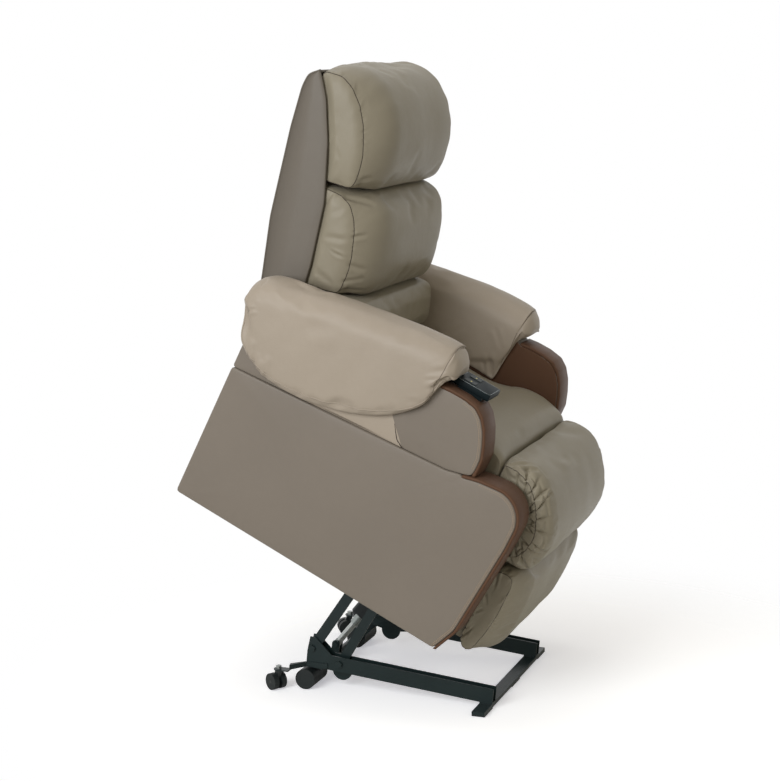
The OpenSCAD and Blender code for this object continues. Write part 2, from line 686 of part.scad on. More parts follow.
module seat_rail(f) {
  color(timber) seat_frame() block([-arm_in, -f - timber_w, carriage_high], [arm_in, -f, timber_top]);
}
module seat_front_rail() { seat_rail(seat_front - timber_w); }
module seat_rear_rail() { seat_rail(seat_rear_rail_f); }
module seat_webbing() {
  color(strap_grey) seat_frame() for (i = [0:strap_count - 1])
    translate([(i - (strap_count - 1) / 2) * strap_pitch, 0, 0])
      block([-strap_w / 2, -seat_front, timber_top], [strap_w / 2, -seat_rear_rail_f, timber_top + strap_t]);
}
cushion_low = timber_top + strap_t + soft_gap;
cushion_rear = 112;
cushion_shares = [[0, 0], [0.9949, 0], [1, 0.068], [1, 0.9184], [0.9898, 1], [0.7436, 1.0408], [0.489, 1.0544],
  [0.0645, 1.0136], [0.0068, 0.9728], [0, 0.8844]];
cushion_side = [for (p = cushion_shares) [cushion_rear + p[0] * (seat_front - cushion_rear), cushion_low + p[1] * (seat_h - cushion_low)]];
module seat_cushion() {
  color(pillow_grey) seat_frame() bolster(ahead(cushion_side), [-seat_front, cushion_low], seat_w / 2);
}
module front_roll() {
  reach = roll_front - seat_front - soft_gap;
  color(pillow_grey) seat_frame()
    bolster([for (p = roll_shares) [-seat_front - soft_gap - p[0] * reach, roll_low + p[1] * (seat_h - roll_low)]],
      [-seat_front - soft_gap, roll_low + roll_mid_share * (seat_h - roll_low)], roll_w / 2);
}

// Top and front of a lower arm, drawn a little inside its outline
function arm_front_side(d) = concat([[band_from, arm_rear_h + top_slope * top_run - d
    + (band_from - top_run) / (shoulder_f - top_run) * (arm_front_h - shoulder_drop - arm_rear_h - top_slope * top_run)],
  [shoulder_f, arm_front_h - shoulder_drop - d]],
  arc([arm_depth - arm_shoulder_r, arm_front_h - arm_shoulder_r], arm_shoulder_r - d, 90, 0, 12),
  [[arm_depth - d, front_low], [arm_depth - toe_lean - d, toe_rise], [arm_depth - toe_back - d, 0]]);
function flip(points) = [for (i = [len(points) - 1:-1:0]) points[i]];
module lower_arm(side) {
  outer = arm_front_side(0);
  core = concat([[0, 0], [0, arm_rear_h], [top_run, arm_rear_h + top_slope * top_run], outer[0]],
    arm_front_side(band_t + soft_gap));
  color(taupe) handed(side) seat_frame() difference() {
    prism(ahead(core), arm_in, arm_t);
    bar_x(ahead([foot_pivot])[0], foot_pin_r + run_gap, arm_in - cut, arm_in + foot_pin + run_gap);
  }
}
module lower_band(side) {
  color(brown) handed(side) seat_frame()
    prism(ahead(concat(arm_front_side(0), flip(arm_front_side(band_t)))), arm_in, arm_t);
}
upper_foot = arm_front_side(0)[0] + (upper_front_f - band_from) / (shoulder_f - band_from) * (arm_front_side(0)[1] - arm_front_side(0)[0]);
upper_curve = [for (p = upper_curve_shares) [upper_top[1] + p[0] * (upper_front_f - upper_top[1]), upper_foot[1] + p[1] * (arm_top_h - upper_foot[1])]];
upper_front_side = concat([[upper_top[1], arm_top_h]], upper_curve);
// The same, a share inside; the band runs down the curved front
function upper_edge(d) = [for (p = upper_front_side) let (c = [upper_top[1], upper_low], n = (p - c) / norm(p - c)) p - d * n];
module upper_arm(side) {
  shape = concat([[0, arm_rear_h + soft_gap], [0, upper_top_at(0)]],
    [[upper_top[0], arm_top_h]], [upper_front_side[0]], upper_edge(band_t + soft_gap),
    [[upper_front_f - band_t - soft_gap, upper_foot[1] + soft_gap - cut / 2], [band_from, arm_front_side(0)[0][1] + soft_gap],
     [top_run, arm_rear_h + top_slope * top_run + soft_gap]]);
  color(taupe) handed(side) seat_frame() prism(ahead(shape), upper_in, arm_t);
}
module upper_band(side) {
  color(brown) handed(side) seat_frame()
    prism(ahead(concat(upper_front_side, [[upper_front_f, upper_foot[1] + soft_gap]],
      [[upper_front_f - band_t, upper_foot[1] + soft_gap - cut / 2]], flip(upper_edge(band_t)))), upper_in, arm_t);
}
// Height of the upper arm's top at a distance from its rear edge
function upper_top_at(f) = arm_top_h - upper_rise * (1 - f / upper_top[0]);
function pillow_ring(s) = let (x1 = pillow_out, x0 = pillow_out - arm_pillow_w, mid = (x0 + x1) / 2, f = s[0] * arm_depth,
    half = arm_pillow_w / 2 * (0.55 + 0.45 * s[3]), y = -f,
    top = pillow_crown - s[1] * arm_pillow_h, low = pillow_crown - s[2] * arm_pillow_h,
    hang = pillow_crown - pillow_inner_share * arm_pillow_h, inner = s[4] > 0 ? hang : max(low, hang), r = pillow_round, a = mid + half, b = mid - half,
    p = min(a - 0.32 * r, upper_out + soft_gap), q = max(b + 0.32 * r, upper_in - soft_gap),
    up = s[4] > 0 ? [upper_top_at(f) + soft_gap, upper_top_at(f) + soft_gap] : [low + (inner - low) / 3, inner - (inner - low) / 3])
  [[a - 0.22 * r, y, low], [a, y, low + 0.3 * (top - low)], [a - 0.14 * r, y, top - 1.4 * r], [a - r, y, top - 0.4 * r],
   [mid + 0.4 * half, y, top], [mid - 0.4 * half, y, top], [b + r, y, top - 0.4 * r], [b + 0.1 * r, y, top - 1.4 * r],
   [b, y, inner + 0.3 * (top - inner)], [b + 0.14 * r, y, inner], [q, y, inner],
   s[4] > 0 ? [q, y, up[1]] : [(p + 2 * q) / 3, y, up[1]], s[4] > 0 ? [p, y, up[0]] : [(2 * p + q) / 3, y, up[0]], [p, y, low]];
module arm_pillow(side) {
  color(beige) handed(side) seat_frame() skin([for (s = pillow_end_shares) pillow_ring(s)]);
}
module rear_panel() {
  color(taupe) seat_frame() block([-arm_in, -rear_panel_t, rear_panel_low], [arm_in, 0, rear_panel_high]);
}
module control_box() {
  top = rear_tube[1] - tube_side / 2;
  color(gloss_black) seat_frame() difference() {
    block([box_x[0], -box_f[1], top - box_h], [box_x[1], -box_f[0], top]);
    translate([(box_x[0] + box_x[1]) / 2, -box_f[0] + cut, top - box_h / 2]) rotate([90, 0, 0])
      cylinder(r = socket_r, h = socket_depth + cut, $fn = smooth);
  }
}
module recline_motor() {
  color(gloss_black) recline_frame() translate([lever_x, 0, 0]) difference() {
    union() {
      bar_x([0, 0], eye_r, -eye_w / 2, eye_w / 2);
      block([-eye_w / 2, 0, -eye_r], [eye_w / 2, recline_box[0] + cut, eye_r]);
      block([-recline_box_w / 2, recline_box[0], -recline_box_low], [recline_box_w / 2, recline_box[1], recline_tube_r + cut]);
      along(recline_tube_r, recline_tube_from, recline_tube_from + recline_tube_len);
      translate([0, 0, -recline_motor_drop]) along(motor_r, recline_box[1] - cut, recline_box[1] + recline_motor_len);
    }
    bar_x([0, 0], lift_pin_r + run_gap, -eye_w / 2 - cut, eye_w / 2 + cut);
    along(recline_rod_r + run_gap, recline_box[1] + 2 * cut, recline_tube_from + recline_tube_len + cut);
  }
}
module recline_rod() {
  color(silver) recline_frame() translate([lever_x, 0, 0]) difference() {
    union() {
      along(recline_rod_r, recline_span - recline_rod_len, recline_span - recline_eye_r / 2);
      bar_x([recline_span, 0], recline_eye_r, -eye_w / 2, eye_w / 2);
    }
    bar_x([recline_span, 0], recline_pin_r + recline_slack, -eye_w, eye_w);
  }
}

post_side = concat(arc([hinge_w, 0], hinge_r - post_step, 180, 380, 16), [[board_face - back_board_t, back_board_low - cut]],
  up_back(post_rear_shares, board_face - back_board_t));
module back_frame() {
  front = back_board_t - board_face;
  color(timber) back_place() {
    for (side = [-1, 1]) handed(side) difference() {
      prism(ahead(post_side), post_in, post_w);
      bar_x([-hinge_w, 0], bolt_r + run_gap, post_in - cut, post_in + post_w + cut);
    }
    for (z = frame_rails) block([-post_in, front, z[0]], [post_in, -frame_rail_w, z[1]]);
    for (x = [lever_x - eye_w / 2 - cut - lever_t, lever_x + eye_w / 2 + cut])
      prism(ahead(concat(arc([hinge_w, -lever_len], recline_eye_r, 180, 360, 12),
        [[hinge_w + recline_eye_r, 0], [-front, back_board_low - cut], [-front, frame_rails[0][1]], [frame_rail_w, frame_rails[0][1]],
         [frame_rail_w, lever_foot]])), x, lever_t);
    bar_x([-hinge_w, -lever_len], recline_pin_r, lever_x - eye_w / 2 - cut - lever_t, lever_x + eye_w / 2 + cut + lever_t);
  }
}
module back_board() {
  color(timber) back_place()
    block([-back_board_w / 2, -board_face, back_board_low], [back_board_w / 2, back_board_t - board_face, frame_rails[2][1]]);
}
module back_shell() {
  color(taupe) back_place()
    prism(ahead(up_back(concat(shell_rear_shares, shell_inner_shares), shell_depth)), wing_t - back_w / 2, back_w - 2 * wing_t);
}
module back_wing(side) {
  color(taupe) handed(side) back_place()
    prism(ahead(concat(up_back(shell_rear_shares, shell_depth), up_back(wing_front_shares, wing_reach))), back_w / 2 - wing_t, wing_t);
}
module back_pillow(shares, low, h, depth) {
  back_place() bolster([for (p = shares) [-pillow_rear - p[0] * depth, low + p[1] * h]],
    [-pillow_rear, low + h / 2], pillow_half);
}
module head_pillow() { color(pillow_grey) back_pillow(head_shares, head_low, head_h, head_depth); }
module middle_pillow() { color(pillow_grey) back_pillow(middle_shares, middle_low, middle_h, middle_depth); }
module lumbar_pillow() { color(pillow_grey) back_pillow(lumbar_shares, lumbar_low, lumbar_h, lumbar_depth); }

foot_axis = ahead([foot_pivot])[0];
module footrest_links() {
  color(steel) seat_frame() {
    for (side = [-1, 1]) handed(side) difference() {
      prism(concat(arc(foot_axis, foot_link_r, 0, 180, 16), [[-board_f - foot_link_r + cut, foot_bar_z[0]], [-board_f + foot_bar_thick, foot_bar_z[0]]]),
        foot_link_in, foot_link_t);
      bar_x(foot_axis, foot_pin_r + run_gap, foot_link_in - cut, foot_link_in + foot_link_t + cut);
    }
    for (z = foot_bar_z) block([-foot_link_in, -board_f, z], [foot_link_in, -board_f + foot_bar_thick, z + foot_bar_h]);
  }
}
module footrest_board() {
  color(timber) seat_frame() block([-board_w / 2, -board_f - board_t, board_low], [board_w / 2, -board_f, board_high]);
}
module footrest_pad() {
  color(pillow_grey) seat_frame()
    bolster([for (p = pad_shares) [-board_f - board_t - soft_gap - p[0] * pad_depth, pad_low + p[1] * (pad_high - pad_low)]],
      [-board_f - board_t - soft_gap, pad_low + pad_mid_share * (pad_high - pad_low)], pad_w / 2);
}

module handset_holder() {
  color(gloss_black) seat_frame() prism(ahead([[holder_f[0], arm_top_h], [upper_top[1], arm_top_h],
    [holder_f[1], upper_curve[0][1]], [holder_f[1], handset_low], [holder_f[0], handset_low]]), -holder_x[1], holder_x[1] - holder_x[0]);
}
handset_top = handset_low + handset_t;
module button(i, grow) {
  low = handset_top + button_stand - button_h - (grow > 0 ? button_travel + button_gap : 0);
  block([-button_x[i] - button_w / 2 - grow, -button_f - button_len / 2 - grow, low],
    [-button_x[i] + button_w / 2 + grow, -button_f + button_len / 2 + grow, handset_top + (grow > 0 ? cut : button_stand)]);
}
module handset() {
  color(gloss_black) seat_frame() difference() {
    block([-handset_out, -handset_back_f - handset_len, handset_low], [-handset_out + handset_w, -handset_back_f, handset_top]);
    for (i = [0, 1]) button(i, button_gap);
  }
}
module button_up() { color(silver) seat_frame() button(0, 0); }
module button_down() { color(silver) seat_frame() button(1, 0); }

module base_rail_right() { base_rail(-1); }
module base_rail_left() { base_rail(1); }
module castor_bracket_right() { castor_bracket(-1); }
module castor_bracket_left() { castor_bracket(1); }
module rear_roller_right() { rear_roller(-1); }
module rear_roller_left() { rear_roller(1); }
module castor_fork_right() { castor_fork(-1); }
module castor_fork_left() { castor_fork(1); }
module castor_wheels_right() { castor_wheels(-1); }
module castor_wheels_left() { castor_wheels(1); }
module rear_link_right() { rear_link(-1); }
module rear_link_left() { rear_link(1); }
module front_link_right() { front_link(-1); }
module front_link_left() { front_link(1); }
module carriage_side_right() { carriage_side(-1); }
module carriage_side_left() { carriage_side(1); }
module lower_arm_right() { lower_arm(-1); }
module lower_arm_left() { lower_arm(1); }
module lower_band_right() { lower_band(-1); }
module lower_band_left() { lower_band(1); }
module upper_arm_right() { upper_arm(-1); }
module upper_arm_left() { upper_arm(1); }
module upper_band_right() { upper_band(-1); }
module upper_band_left() { upper_band(1); }
module arm_pillow_right() { arm_pillow(-1); }
module arm_pillow_left() { arm_pillow(1); }
module back_wing_right() { back_wing(-1); }
module back_wing_left() { back_wing(1); }

front_foot_bar();
foot_pads();
base_rail_right();
base_rail_left();
rear_cross_tube();
base_pivot_bolts();
castor_bracket_right();
castor_bracket_left();
rear_roller_right();
rear_roller_left();
castor_fork_right();
castor_fork_left();
castor_wheels_right();
castor_wheels_left();
rear_link_right();
rear_link_left();
front_link_right();
front_link_left();
rear_link_tube();
lift_rod();
lift_tube();
lift_motor();
carriage_side_right();
carriage_side_left();
carriage_tubes();
carriage_bolts();
seat_front_rail();
seat_rear_rail();
seat_webbing();
seat_cushion();
front_roll();
lower_arm_right();
lower_arm_left();
lower_band_right();
lower_band_left();
upper_arm_right();
upper_arm_left();
upper_band_right();
upper_band_left();
arm_pillow_right();
arm_pillow_left();
rear_panel();
control_box();
recline_motor();
recline_rod();
back_frame();
back_board();
back_shell();
back_wing_right();
back_wing_left();
head_pillow();
middle_pillow();
lumbar_pillow();
footrest_links();
footrest_board();
footrest_pad();
handset_holder();
handset();
button_up();
button_down();
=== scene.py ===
# Power lift recliner, raised: upholstery, steelwork finish, light and camera
import math
import bpy
import numpy as np
from mathutils import Matrix, Vector


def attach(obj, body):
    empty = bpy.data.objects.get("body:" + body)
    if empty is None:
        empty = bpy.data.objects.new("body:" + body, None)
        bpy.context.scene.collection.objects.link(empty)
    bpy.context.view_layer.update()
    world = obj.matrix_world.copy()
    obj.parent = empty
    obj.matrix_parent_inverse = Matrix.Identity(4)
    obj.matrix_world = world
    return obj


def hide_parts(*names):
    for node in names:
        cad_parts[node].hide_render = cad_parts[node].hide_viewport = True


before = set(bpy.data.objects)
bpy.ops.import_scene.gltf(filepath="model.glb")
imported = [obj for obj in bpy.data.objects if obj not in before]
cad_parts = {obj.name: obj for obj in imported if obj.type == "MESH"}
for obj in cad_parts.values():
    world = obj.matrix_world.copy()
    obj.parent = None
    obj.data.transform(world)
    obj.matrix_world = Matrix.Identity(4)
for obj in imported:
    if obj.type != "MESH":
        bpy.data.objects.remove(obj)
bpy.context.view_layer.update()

mm = 0.001  # lengths in the tables are millimetres of the part's own frame

# Places in the frame of the raised seat: f forward from the arms' rear edge, z up from their lower edge
seatPlace = {"y": 0.7697574, "z": 0.5450308, "tilt": math.radians(26.5), "lean": math.radians(11.5), "backZ": 300}


# A share from 0 to 1 with a soft start and end
def soften(t):
    return t * t * (3 - t * 2)


# Feeds a socket from another socket's output, or sets it to a plain value
def connect(tree, plug, value):
    if isinstance(value, Wire):
        tree.links.new(value.out, plug)
    else:
        plug.default_value = value


# Shader maths: a socket that takes part in Python expressions
class Wire:
    def __init__(self, tree, out):
        self.tree = tree
        self.out = out

    def maths(self, operation, other, flipped=False):
        node = self.tree.nodes.new("ShaderNodeMath")
        node.operation = operation
        for plug, value in zip(node.inputs, (other, self) if flipped else (self, other)):
            connect(self.tree, plug, value)
        return Wire(self.tree, node.outputs[0])

    def __add__(self, other): return self.maths("ADD", other)
    def __radd__(self, other): return self.maths("ADD", other, True)
    def __sub__(self, other): return self.maths("SUBTRACT", other)
    def __rsub__(self, other): return self.maths("SUBTRACT", other, True)
    def __mul__(self, other): return self.maths("MULTIPLY", other)
    def __rmul__(self, other): return self.maths("MULTIPLY", other, True)


# A material under construction
class Finish:
    def __init__(self, name):
        self.material = bpy.data.materials.new(name)
        self.material.use_nodes = True
        self.tree = self.material.node_tree
        self.shader = self.tree.nodes["Principled BSDF"]
        self.place = self.node("ShaderNodeTexCoord", out="Object")

    def node(self, kind, settings=None, stops=None, out=0, **sockets):
        made = self.tree.nodes.new(kind)
        for key, value in (settings or {}).items():
            setattr(made, key, value)
        if stops:
            ramp = made.color_ramp
            while len(ramp.elements) < len(stops):
                ramp.elements.new(0.5)
            for element, (position, colour) in zip(ramp.elements, stops):
                element.position = position
                element.color = (*colour, 1)
        for key, value in sockets.items():
            numbered = key[0] == "i" and key[1:].isdigit()
            connect(self.tree, made.inputs[int(key[1:]) if numbered else key.replace("_", " ")], value)
        return Wire(self.tree, made.outputs[out])

    def noise(self, scale, detail=3, roughness=0.5):
        return self.node("ShaderNodeTexNoise", Vector=self.place, Scale=scale, Detail=detail, Roughness=roughness)

    def cells(self, scale):
        return self.node("ShaderNodeTexVoronoi", {"feature": "F1"}, Vector=self.place, Scale=scale)

    def mix(self, factor, first, second):
        return self.node("ShaderNodeMix", {"data_type": "RGBA"}, out=2, i0=factor, i6=first, i7=second)

    def bump(self, height):
        return self.node("ShaderNodeBump", Height=height, Distance=1.0, Strength=1.0)

    def feed(self, **sockets):
        for key, value in sockets.items():
            connect(self.tree, self.shader.inputs[key.replace("_", " ")], value)
        return self.material


# A colour given in display values, as the linear one that a socket takes
def tone(red, green, blue, share=1.0):
    parts = []
    for value in (red, green, blue):
        c = value / 255 * share
        parts.append(c / 12.92 if c <= 0.04045 else ((c + 0.055) / 1.055) ** 2.4)
    return (*parts, 1)


leatherLook = {"grainScale": 620, "poreScale": 1400, "grainDepth": 0.00022, "softScale": 22, "softDepth": 0.0011, "patchScale": 4.5,
               "wearScale": 60, "roughness": 0.46, "gloss": 0.28}
insertLook = {"slope": 0.93, "reach": 0.8555, "from": 0.16}


# Distance forward and up in the raised seat's frame as shader fields, in metres
def seatFields(f):
    dot = lambda v: f.node("ShaderNodeVectorMath", {"operation": "DOT_PRODUCT"}, out=1, i0=f.place, i1=v)
    y, z, c, s = seatPlace["y"], seatPlace["z"], math.cos(seatPlace["tilt"]), math.sin(seatPlace["tilt"])
    return dot((0, -c, -s)) + (y * c + z * s), dot((0, -s, c)) + (y * s - z * c)


# Grained leather; an insert is the lighter leather sewn into the upper panels behind a slanted seam
def leather(name, colour, soft=1.0, insert=None, gloss=leatherLook["gloss"]):
    f = Finish(name)
    grain = f.cells(leatherLook["grainScale"]) * 0.7 + f.noise(leatherLook["poreScale"], 2) * 0.5
    wave = f.noise(leatherLook["softScale"], 3)
    patch = f.noise(leatherLook["patchScale"], 2)
    shade = f.mix(patch, tone(*colour, 0.965), tone(*colour, 1.03))
    shade = f.mix(f.noise(leatherLook["wearScale"], 4) * 0.22, shade, tone(*colour, 0.90))
    if insert:
        ahead, high = seatFields(f)
        light = (ahead + high * insertLook["slope"]).maths("LESS_THAN", insertLook["reach"])
        light = light * ahead.maths("GREATER_THAN", insertLook["from"])
        shade = f.mix(light, shade, tone(*insert))
    height = grain * leatherLook["grainDepth"] + wave * (leatherLook["softDepth"] * soft)
    return f.feed(Base_Color=shade, Roughness=leatherLook["roughness"] - 0.06 + patch * 0.12, Normal=f.bump(height),
                  Specular_IOR_Level=gloss, Sheen_Weight=gloss * 0.2, Sheen_Roughness=0.5)


def paintedSteel(name, colour, roughness=0.33):
    f = Finish(name)
    peel = f.noise(420, 2)
    dust = f.noise(9, 5, 0.62)
    shade = f.mix(dust, tone(*colour, 0.86), tone(*colour, 1.2))
    return f.feed(Base_Color=shade, Roughness=roughness - 0.07 + dust * 0.16, Normal=f.bump(peel * 0.00035), Metallic=0.15,
                  Specular_IOR_Level=0.28)


def bareSteel(name, colour, roughness=0.3):
    f = Finish(name)
    streak = f.noise(160, 4)
    return f.feed(Base_Color=f.mix(streak, tone(*colour, 0.9), tone(*colour, 1.04)), Metallic=0.9,
                  Roughness=roughness - 0.05 + streak * 0.12, Normal=f.bump(streak * 0.0001))


def mouldedPlastic(name, colour, roughness, gloss=0.3):
    f = Finish(name)
    texture = f.noise(900, 2)
    patch = f.noise(12, 3)
    return f.feed(Base_Color=f.mix(patch, tone(*colour, 0.9), tone(*colour, 1.1)), Roughness=roughness + patch * 0.06,
                  Normal=f.bump(texture * 0.00012), Specular_IOR_Level=gloss)


# Black below a height, bright metal above it: a castor's fork and its nut
def forkPlastic(name, low, high, level):
    f = Finish(name)
    place = f.node("ShaderNodeSeparateXYZ", out=2, Vector=f.place)
    above = place.maths("GREATER_THAN", level)
    patch = f.noise(60, 3)
    return f.feed(Base_Color=f.mix(above, tone(*low), tone(*high)), Metallic=above * 0.9, Roughness=0.32 + patch * 0.1,
                  Normal=f.bump(patch * 0.0001))


def sawnTimber(name, colour):
    f = Finish(name)
    stretched = f.node("ShaderNodeMapping", out=0, Vector=f.place, Scale=(2.2, 30.0, 30.0))
    rings = f.node("ShaderNodeTexNoise", out=0, Vector=stretched, Scale=5.0, Detail=6.0, Roughness=0.6)
    return f.feed(Base_Color=f.mix(rings, tone(*colour, 0.78), tone(*colour, 1.08)), Roughness=0.62 + rings * 0.15,
                  Normal=f.bump(rings * 0.0004))


def wovenStrap(name, colour):
    f = Finish(name)
    wave = f.node("ShaderNodeTexWave", {"wave_type": "BANDS", "bands_direction": "X"}, out=1, Vector=f.place, Scale=160.0)
    cross = f.node("ShaderNodeTexWave", {"wave_type": "BANDS", "bands_direction": "Y"}, out=1, Vector=f.place, Scale=160.0)
    weave = wave * cross
    return f.feed(Base_Color=f.mix(weave, tone(*colour, 0.7), tone(*colour, 1.1)), Roughness=0.85, Normal=f.bump(weave * 0.0006))


leatherTones = {"panel": (119, 110, 101), "wing": (104, 97, 89), "brown": (90, 65, 50), "armPillow": (158, 146, 133),
                "pillow": (135, 127, 111)}
finishes = {
    "panel": leather("panelLeather", leatherTones["panel"], 0.5),
    "upperPanel": leather("upperPanelLeather", leatherTones["panel"], 0.5, leatherTones["armPillow"]),
    "wing": leather("wingLeather", leatherTones["wing"], 0.5),
    "brown": leather("bandLeather", leatherTones["brown"], 0.5, None, 0.1),
    "armPillow": leather("armPillowLeather", leatherTones["armPillow"]),
    "pillow": leather("pillowLeather", leatherTones["pillow"]),
    "seam": mouldedPlastic("seamThread", (48, 40, 34), 0.7),
    "softSeam": mouldedPlastic("armPillowSeam", (104, 94, 84), 0.7),
    "stitch": mouldedPlastic("topStitchThread", (170, 146, 120), 0.6),
    "steel": paintedSteel("darkSteelPaint", (24, 35, 36)),
    "silver": bareSteel("zincedSteel", (176, 180, 178)),
    "tube": bareSteel("motorTube", (150, 156, 154), 0.42),
    "rubber": mouldedPlastic("blackRubber", (24, 29, 30), 0.5),
    "gloss": mouldedPlastic("handsetGloss", (14, 23, 26), 0.4, 0.07),
    "fork": forkPlastic("castorFork", (26, 31, 32), (150, 154, 152), 0.0565),
    "motor": mouldedPlastic("motorHousing", (28, 32, 33), 0.4),
    "button": mouldedPlastic("buttonRubber", (44, 50, 50), 0.5),
    "mark": mouldedPlastic("buttonMark", (196, 184, 120), 0.4),
    "timber": sawnTimber("sawnTimber", (196, 160, 116)),
    "strap": wovenStrap("wovenStrap", (92, 86, 78)),
}
print("finishes made")


# From the seat's frame, in millimetres, to the world
def seatPoints(local):
    local = np.asarray(local, float) * mm
    c, s = math.cos(seatPlace["tilt"]), math.sin(seatPlace["tilt"])
    return np.stack([local[..., 0], seatPlace["y"] - local[..., 1] * c - local[..., 2] * s,
                     seatPlace["z"] - local[..., 1] * s + local[..., 2] * c], -1)


# The same for the leaning back: w forward and v up from its own origin
def backPoints(local):
    local = np.asarray(local, float)
    c, s = math.cos(seatPlace["lean"]), math.sin(seatPlace["lean"])
    f = local[..., 1] * c - local[..., 2] * s
    z = seatPlace["backZ"] + local[..., 1] * s + local[..., 2] * c
    return seatPoints(np.stack([local[..., 0], f, z], -1))


# Rows scaled to a length of one
def unit(rows, least=1e-9):
    return rows / np.maximum(np.linalg.norm(rows, axis=-1, keepdims=True), least)


# How far along a line each of its points is
def runLength(line):
    return np.concatenate([[0], np.cumsum(np.linalg.norm(np.diff(line, axis=0), axis=1))])


def pointsAt(at, length, line):
    return np.stack([np.interp(at, length, line[:, k]) for k in range(line.shape[1])], -1)


# A closed outline as evenly spaced points, softened a little
def evenLoop(points, count, passes=2):
    p = np.asarray(points, float)
    q = np.vstack([p, p[:1]])
    length = runLength(q)
    loop = pointsAt(np.arange(count) / count * length[-1], length, q)
    for _ in range(passes):
        loop = 0.5 * loop + 0.25 * (np.roll(loop, 1, 0) + np.roll(loop, -1, 0))
    return loop


# The same for an open line
def evenLine(points, count, passes=1):
    p = np.asarray(points, float)
    length = runLength(p)
    line = pointsAt(np.linspace(0, length[-1], count), length, p)
    for _ in range(passes):
        line[1:-1] = 0.5 * line[1:-1] + 0.25 * (line[:-2] + line[2:])
    return line


def addMesh(name, points, faces, finish):
    mesh = bpy.data.meshes.new(name)
    mesh.from_pydata([tuple(p) for p in points], [], faces)
    mesh.materials.append(finishes[finish])
    mesh.polygons.foreach_set("use_smooth", [True] * len(mesh.polygons))
    piece = bpy.data.objects.new(name, mesh)
    bpy.context.scene.collection.objects.link(piece)
    return piece


# Makes a piece the only one selected
def pick(piece):
    bpy.ops.object.select_all(action="DESELECT")
    piece.select_set(True)
    bpy.context.view_layer.objects.active = piece


# Turns the faces of a closed mesh outwards
def outward(piece):
    pick(piece)
    bpy.ops.object.mode_set(mode="EDIT")
    bpy.ops.mesh.select_all(action="SELECT")
    bpy.ops.mesh.normals_make_consistent(inside=False)
    bpy.ops.object.mode_set(mode="OBJECT")
    return piece


# Faces between neighbouring rings of points; a closed run joins its last ring to its first
def ringFaces(count, around, closed=False, base=0):
    faces = []
    for i in range(count if closed else count - 1):
        low, high = base + i * around, base + (i + 1) % count * around
        faces += [(low + j, low + (j + 1) % around, high + (j + 1) % around, high + j) for j in range(around)]
    return faces


# A closed form over a stack of rings, with a point at each end
def ringForm(name, rings, finish, toRow):
    rings = np.asarray(rings, float)
    count, around = rings.shape[:2]
    points = np.vstack([rings.reshape(-1, 3), rings[0].mean(0)[None], rings[-1].mean(0)[None]])
    faces = ringFaces(count, around)
    first, last = count * around, count * around + 1
    faces += [(first, (j + 1) % around, j) for j in range(around)]
    faces += [(last, (count - 1) * around + j, (count - 1) * around + (j + 1) % around) for j in range(around)]
    return outward(addMesh(name, toRow(points), faces, finish))


# A value of each vertex or polygon, as rows of three
def rowsOf(items, key):
    flat = np.zeros(len(items) * 3)
    items.foreach_get(key, flat)
    return flat.reshape(-1, 3)


def coords(piece):
    return rowsOf(piece.data.vertices, "co")


def setCoords(piece, points):
    piece.data.vertices.foreach_set("co", np.asarray(points, float).ravel())
    piece.data.update()


# Moves each point along its normal
def push(piece, amount):
    setCoords(piece, coords(piece) + rowsOf(piece.data.vertices, "normal") * np.asarray(amount)[:, None])


coverLook = {"frames": 16, "stiffness": 18.0, "bending": 1.2, "mass": 0.35, "quality": 5}


# Swells a closed cover by air pressure, with its seams held, and keeps each point within a distance
def swell(piece, held, pressure, grow, cap):
    start = coords(piece)
    group = piece.vertex_groups.new(name="held")
    group.add([int(i) for i in np.flatnonzero(held)], 1.0, "REPLACE")
    cloth = piece.modifiers.new("cover", "CLOTH")
    s = cloth.settings
    s.quality = coverLook["quality"]
    s.mass = coverLook["mass"]
    s.tension_stiffness = s.compression_stiffness = coverLook["stiffness"]
    s.shear_stiffness = coverLook["stiffness"] / 2
    s.bending_stiffness = coverLook["bending"]
    s.use_pressure = True
    s.uniform_pressure_force = pressure
    s.shrink_min = -grow
    s.vertex_group_mass = "held"
    s.effector_weights.gravity = 0
    cloth.collision_settings.use_collision = False
    cloth.point_cache.frame_start, cloth.point_cache.frame_end = 1, coverLook["frames"]
    for step in range(1, coverLook["frames"] + 1):
        bpy.context.scene.frame_set(step)
    grown = piece.evaluated_get(bpy.context.evaluated_depsgraph_get()).data
    move = rowsOf(grown.vertices, "co") - start
    far = np.linalg.norm(move, axis=1)
    move *= np.minimum(1, cap / np.maximum(far, 1e-9))[:, None]
    piece.modifiers.remove(cloth)
    piece.vertex_groups.clear()
    setCoords(piece, start + move)
    bpy.context.scene.frame_set(1)


# Halves the faces of a cover
def subdivide(piece):
    pick(piece)
    made = piece.modifiers.new("finer", "SUBSURF")
    made.levels = made.render_levels = 1
    bpy.ops.object.modifier_apply(modifier="finer")


nearlySideways = np.array([1.0, 0.02, 0.03])


# Two directions across a thread, for each of its steps
def across(step):
    side = unit(np.cross(step, nearlySideways))
    return side, np.cross(step, side)


# A thread or a welt along a line of row points
def welt(name, line, radius, finish, closed=False, sides=8):
    line = np.asarray(line, float)
    count = len(line)
    step = np.roll(line, -1, 0) - np.roll(line, 1, 0) if closed else np.gradient(line, axis=0)
    side, other = across(unit(step))
    rings = np.stack([line + radius * (math.cos(a) * side + math.sin(a) * other)
                      for a in np.arange(sides) / sides * 2 * math.pi], 1)
    faces = ringFaces(count, sides, closed)
    if not closed:
        faces += [tuple(range(sides)), tuple((count - 1) * sides + j for j in range(sides))]
    return outward(addMesh(name, rings.reshape(-1, 3), faces, finish))


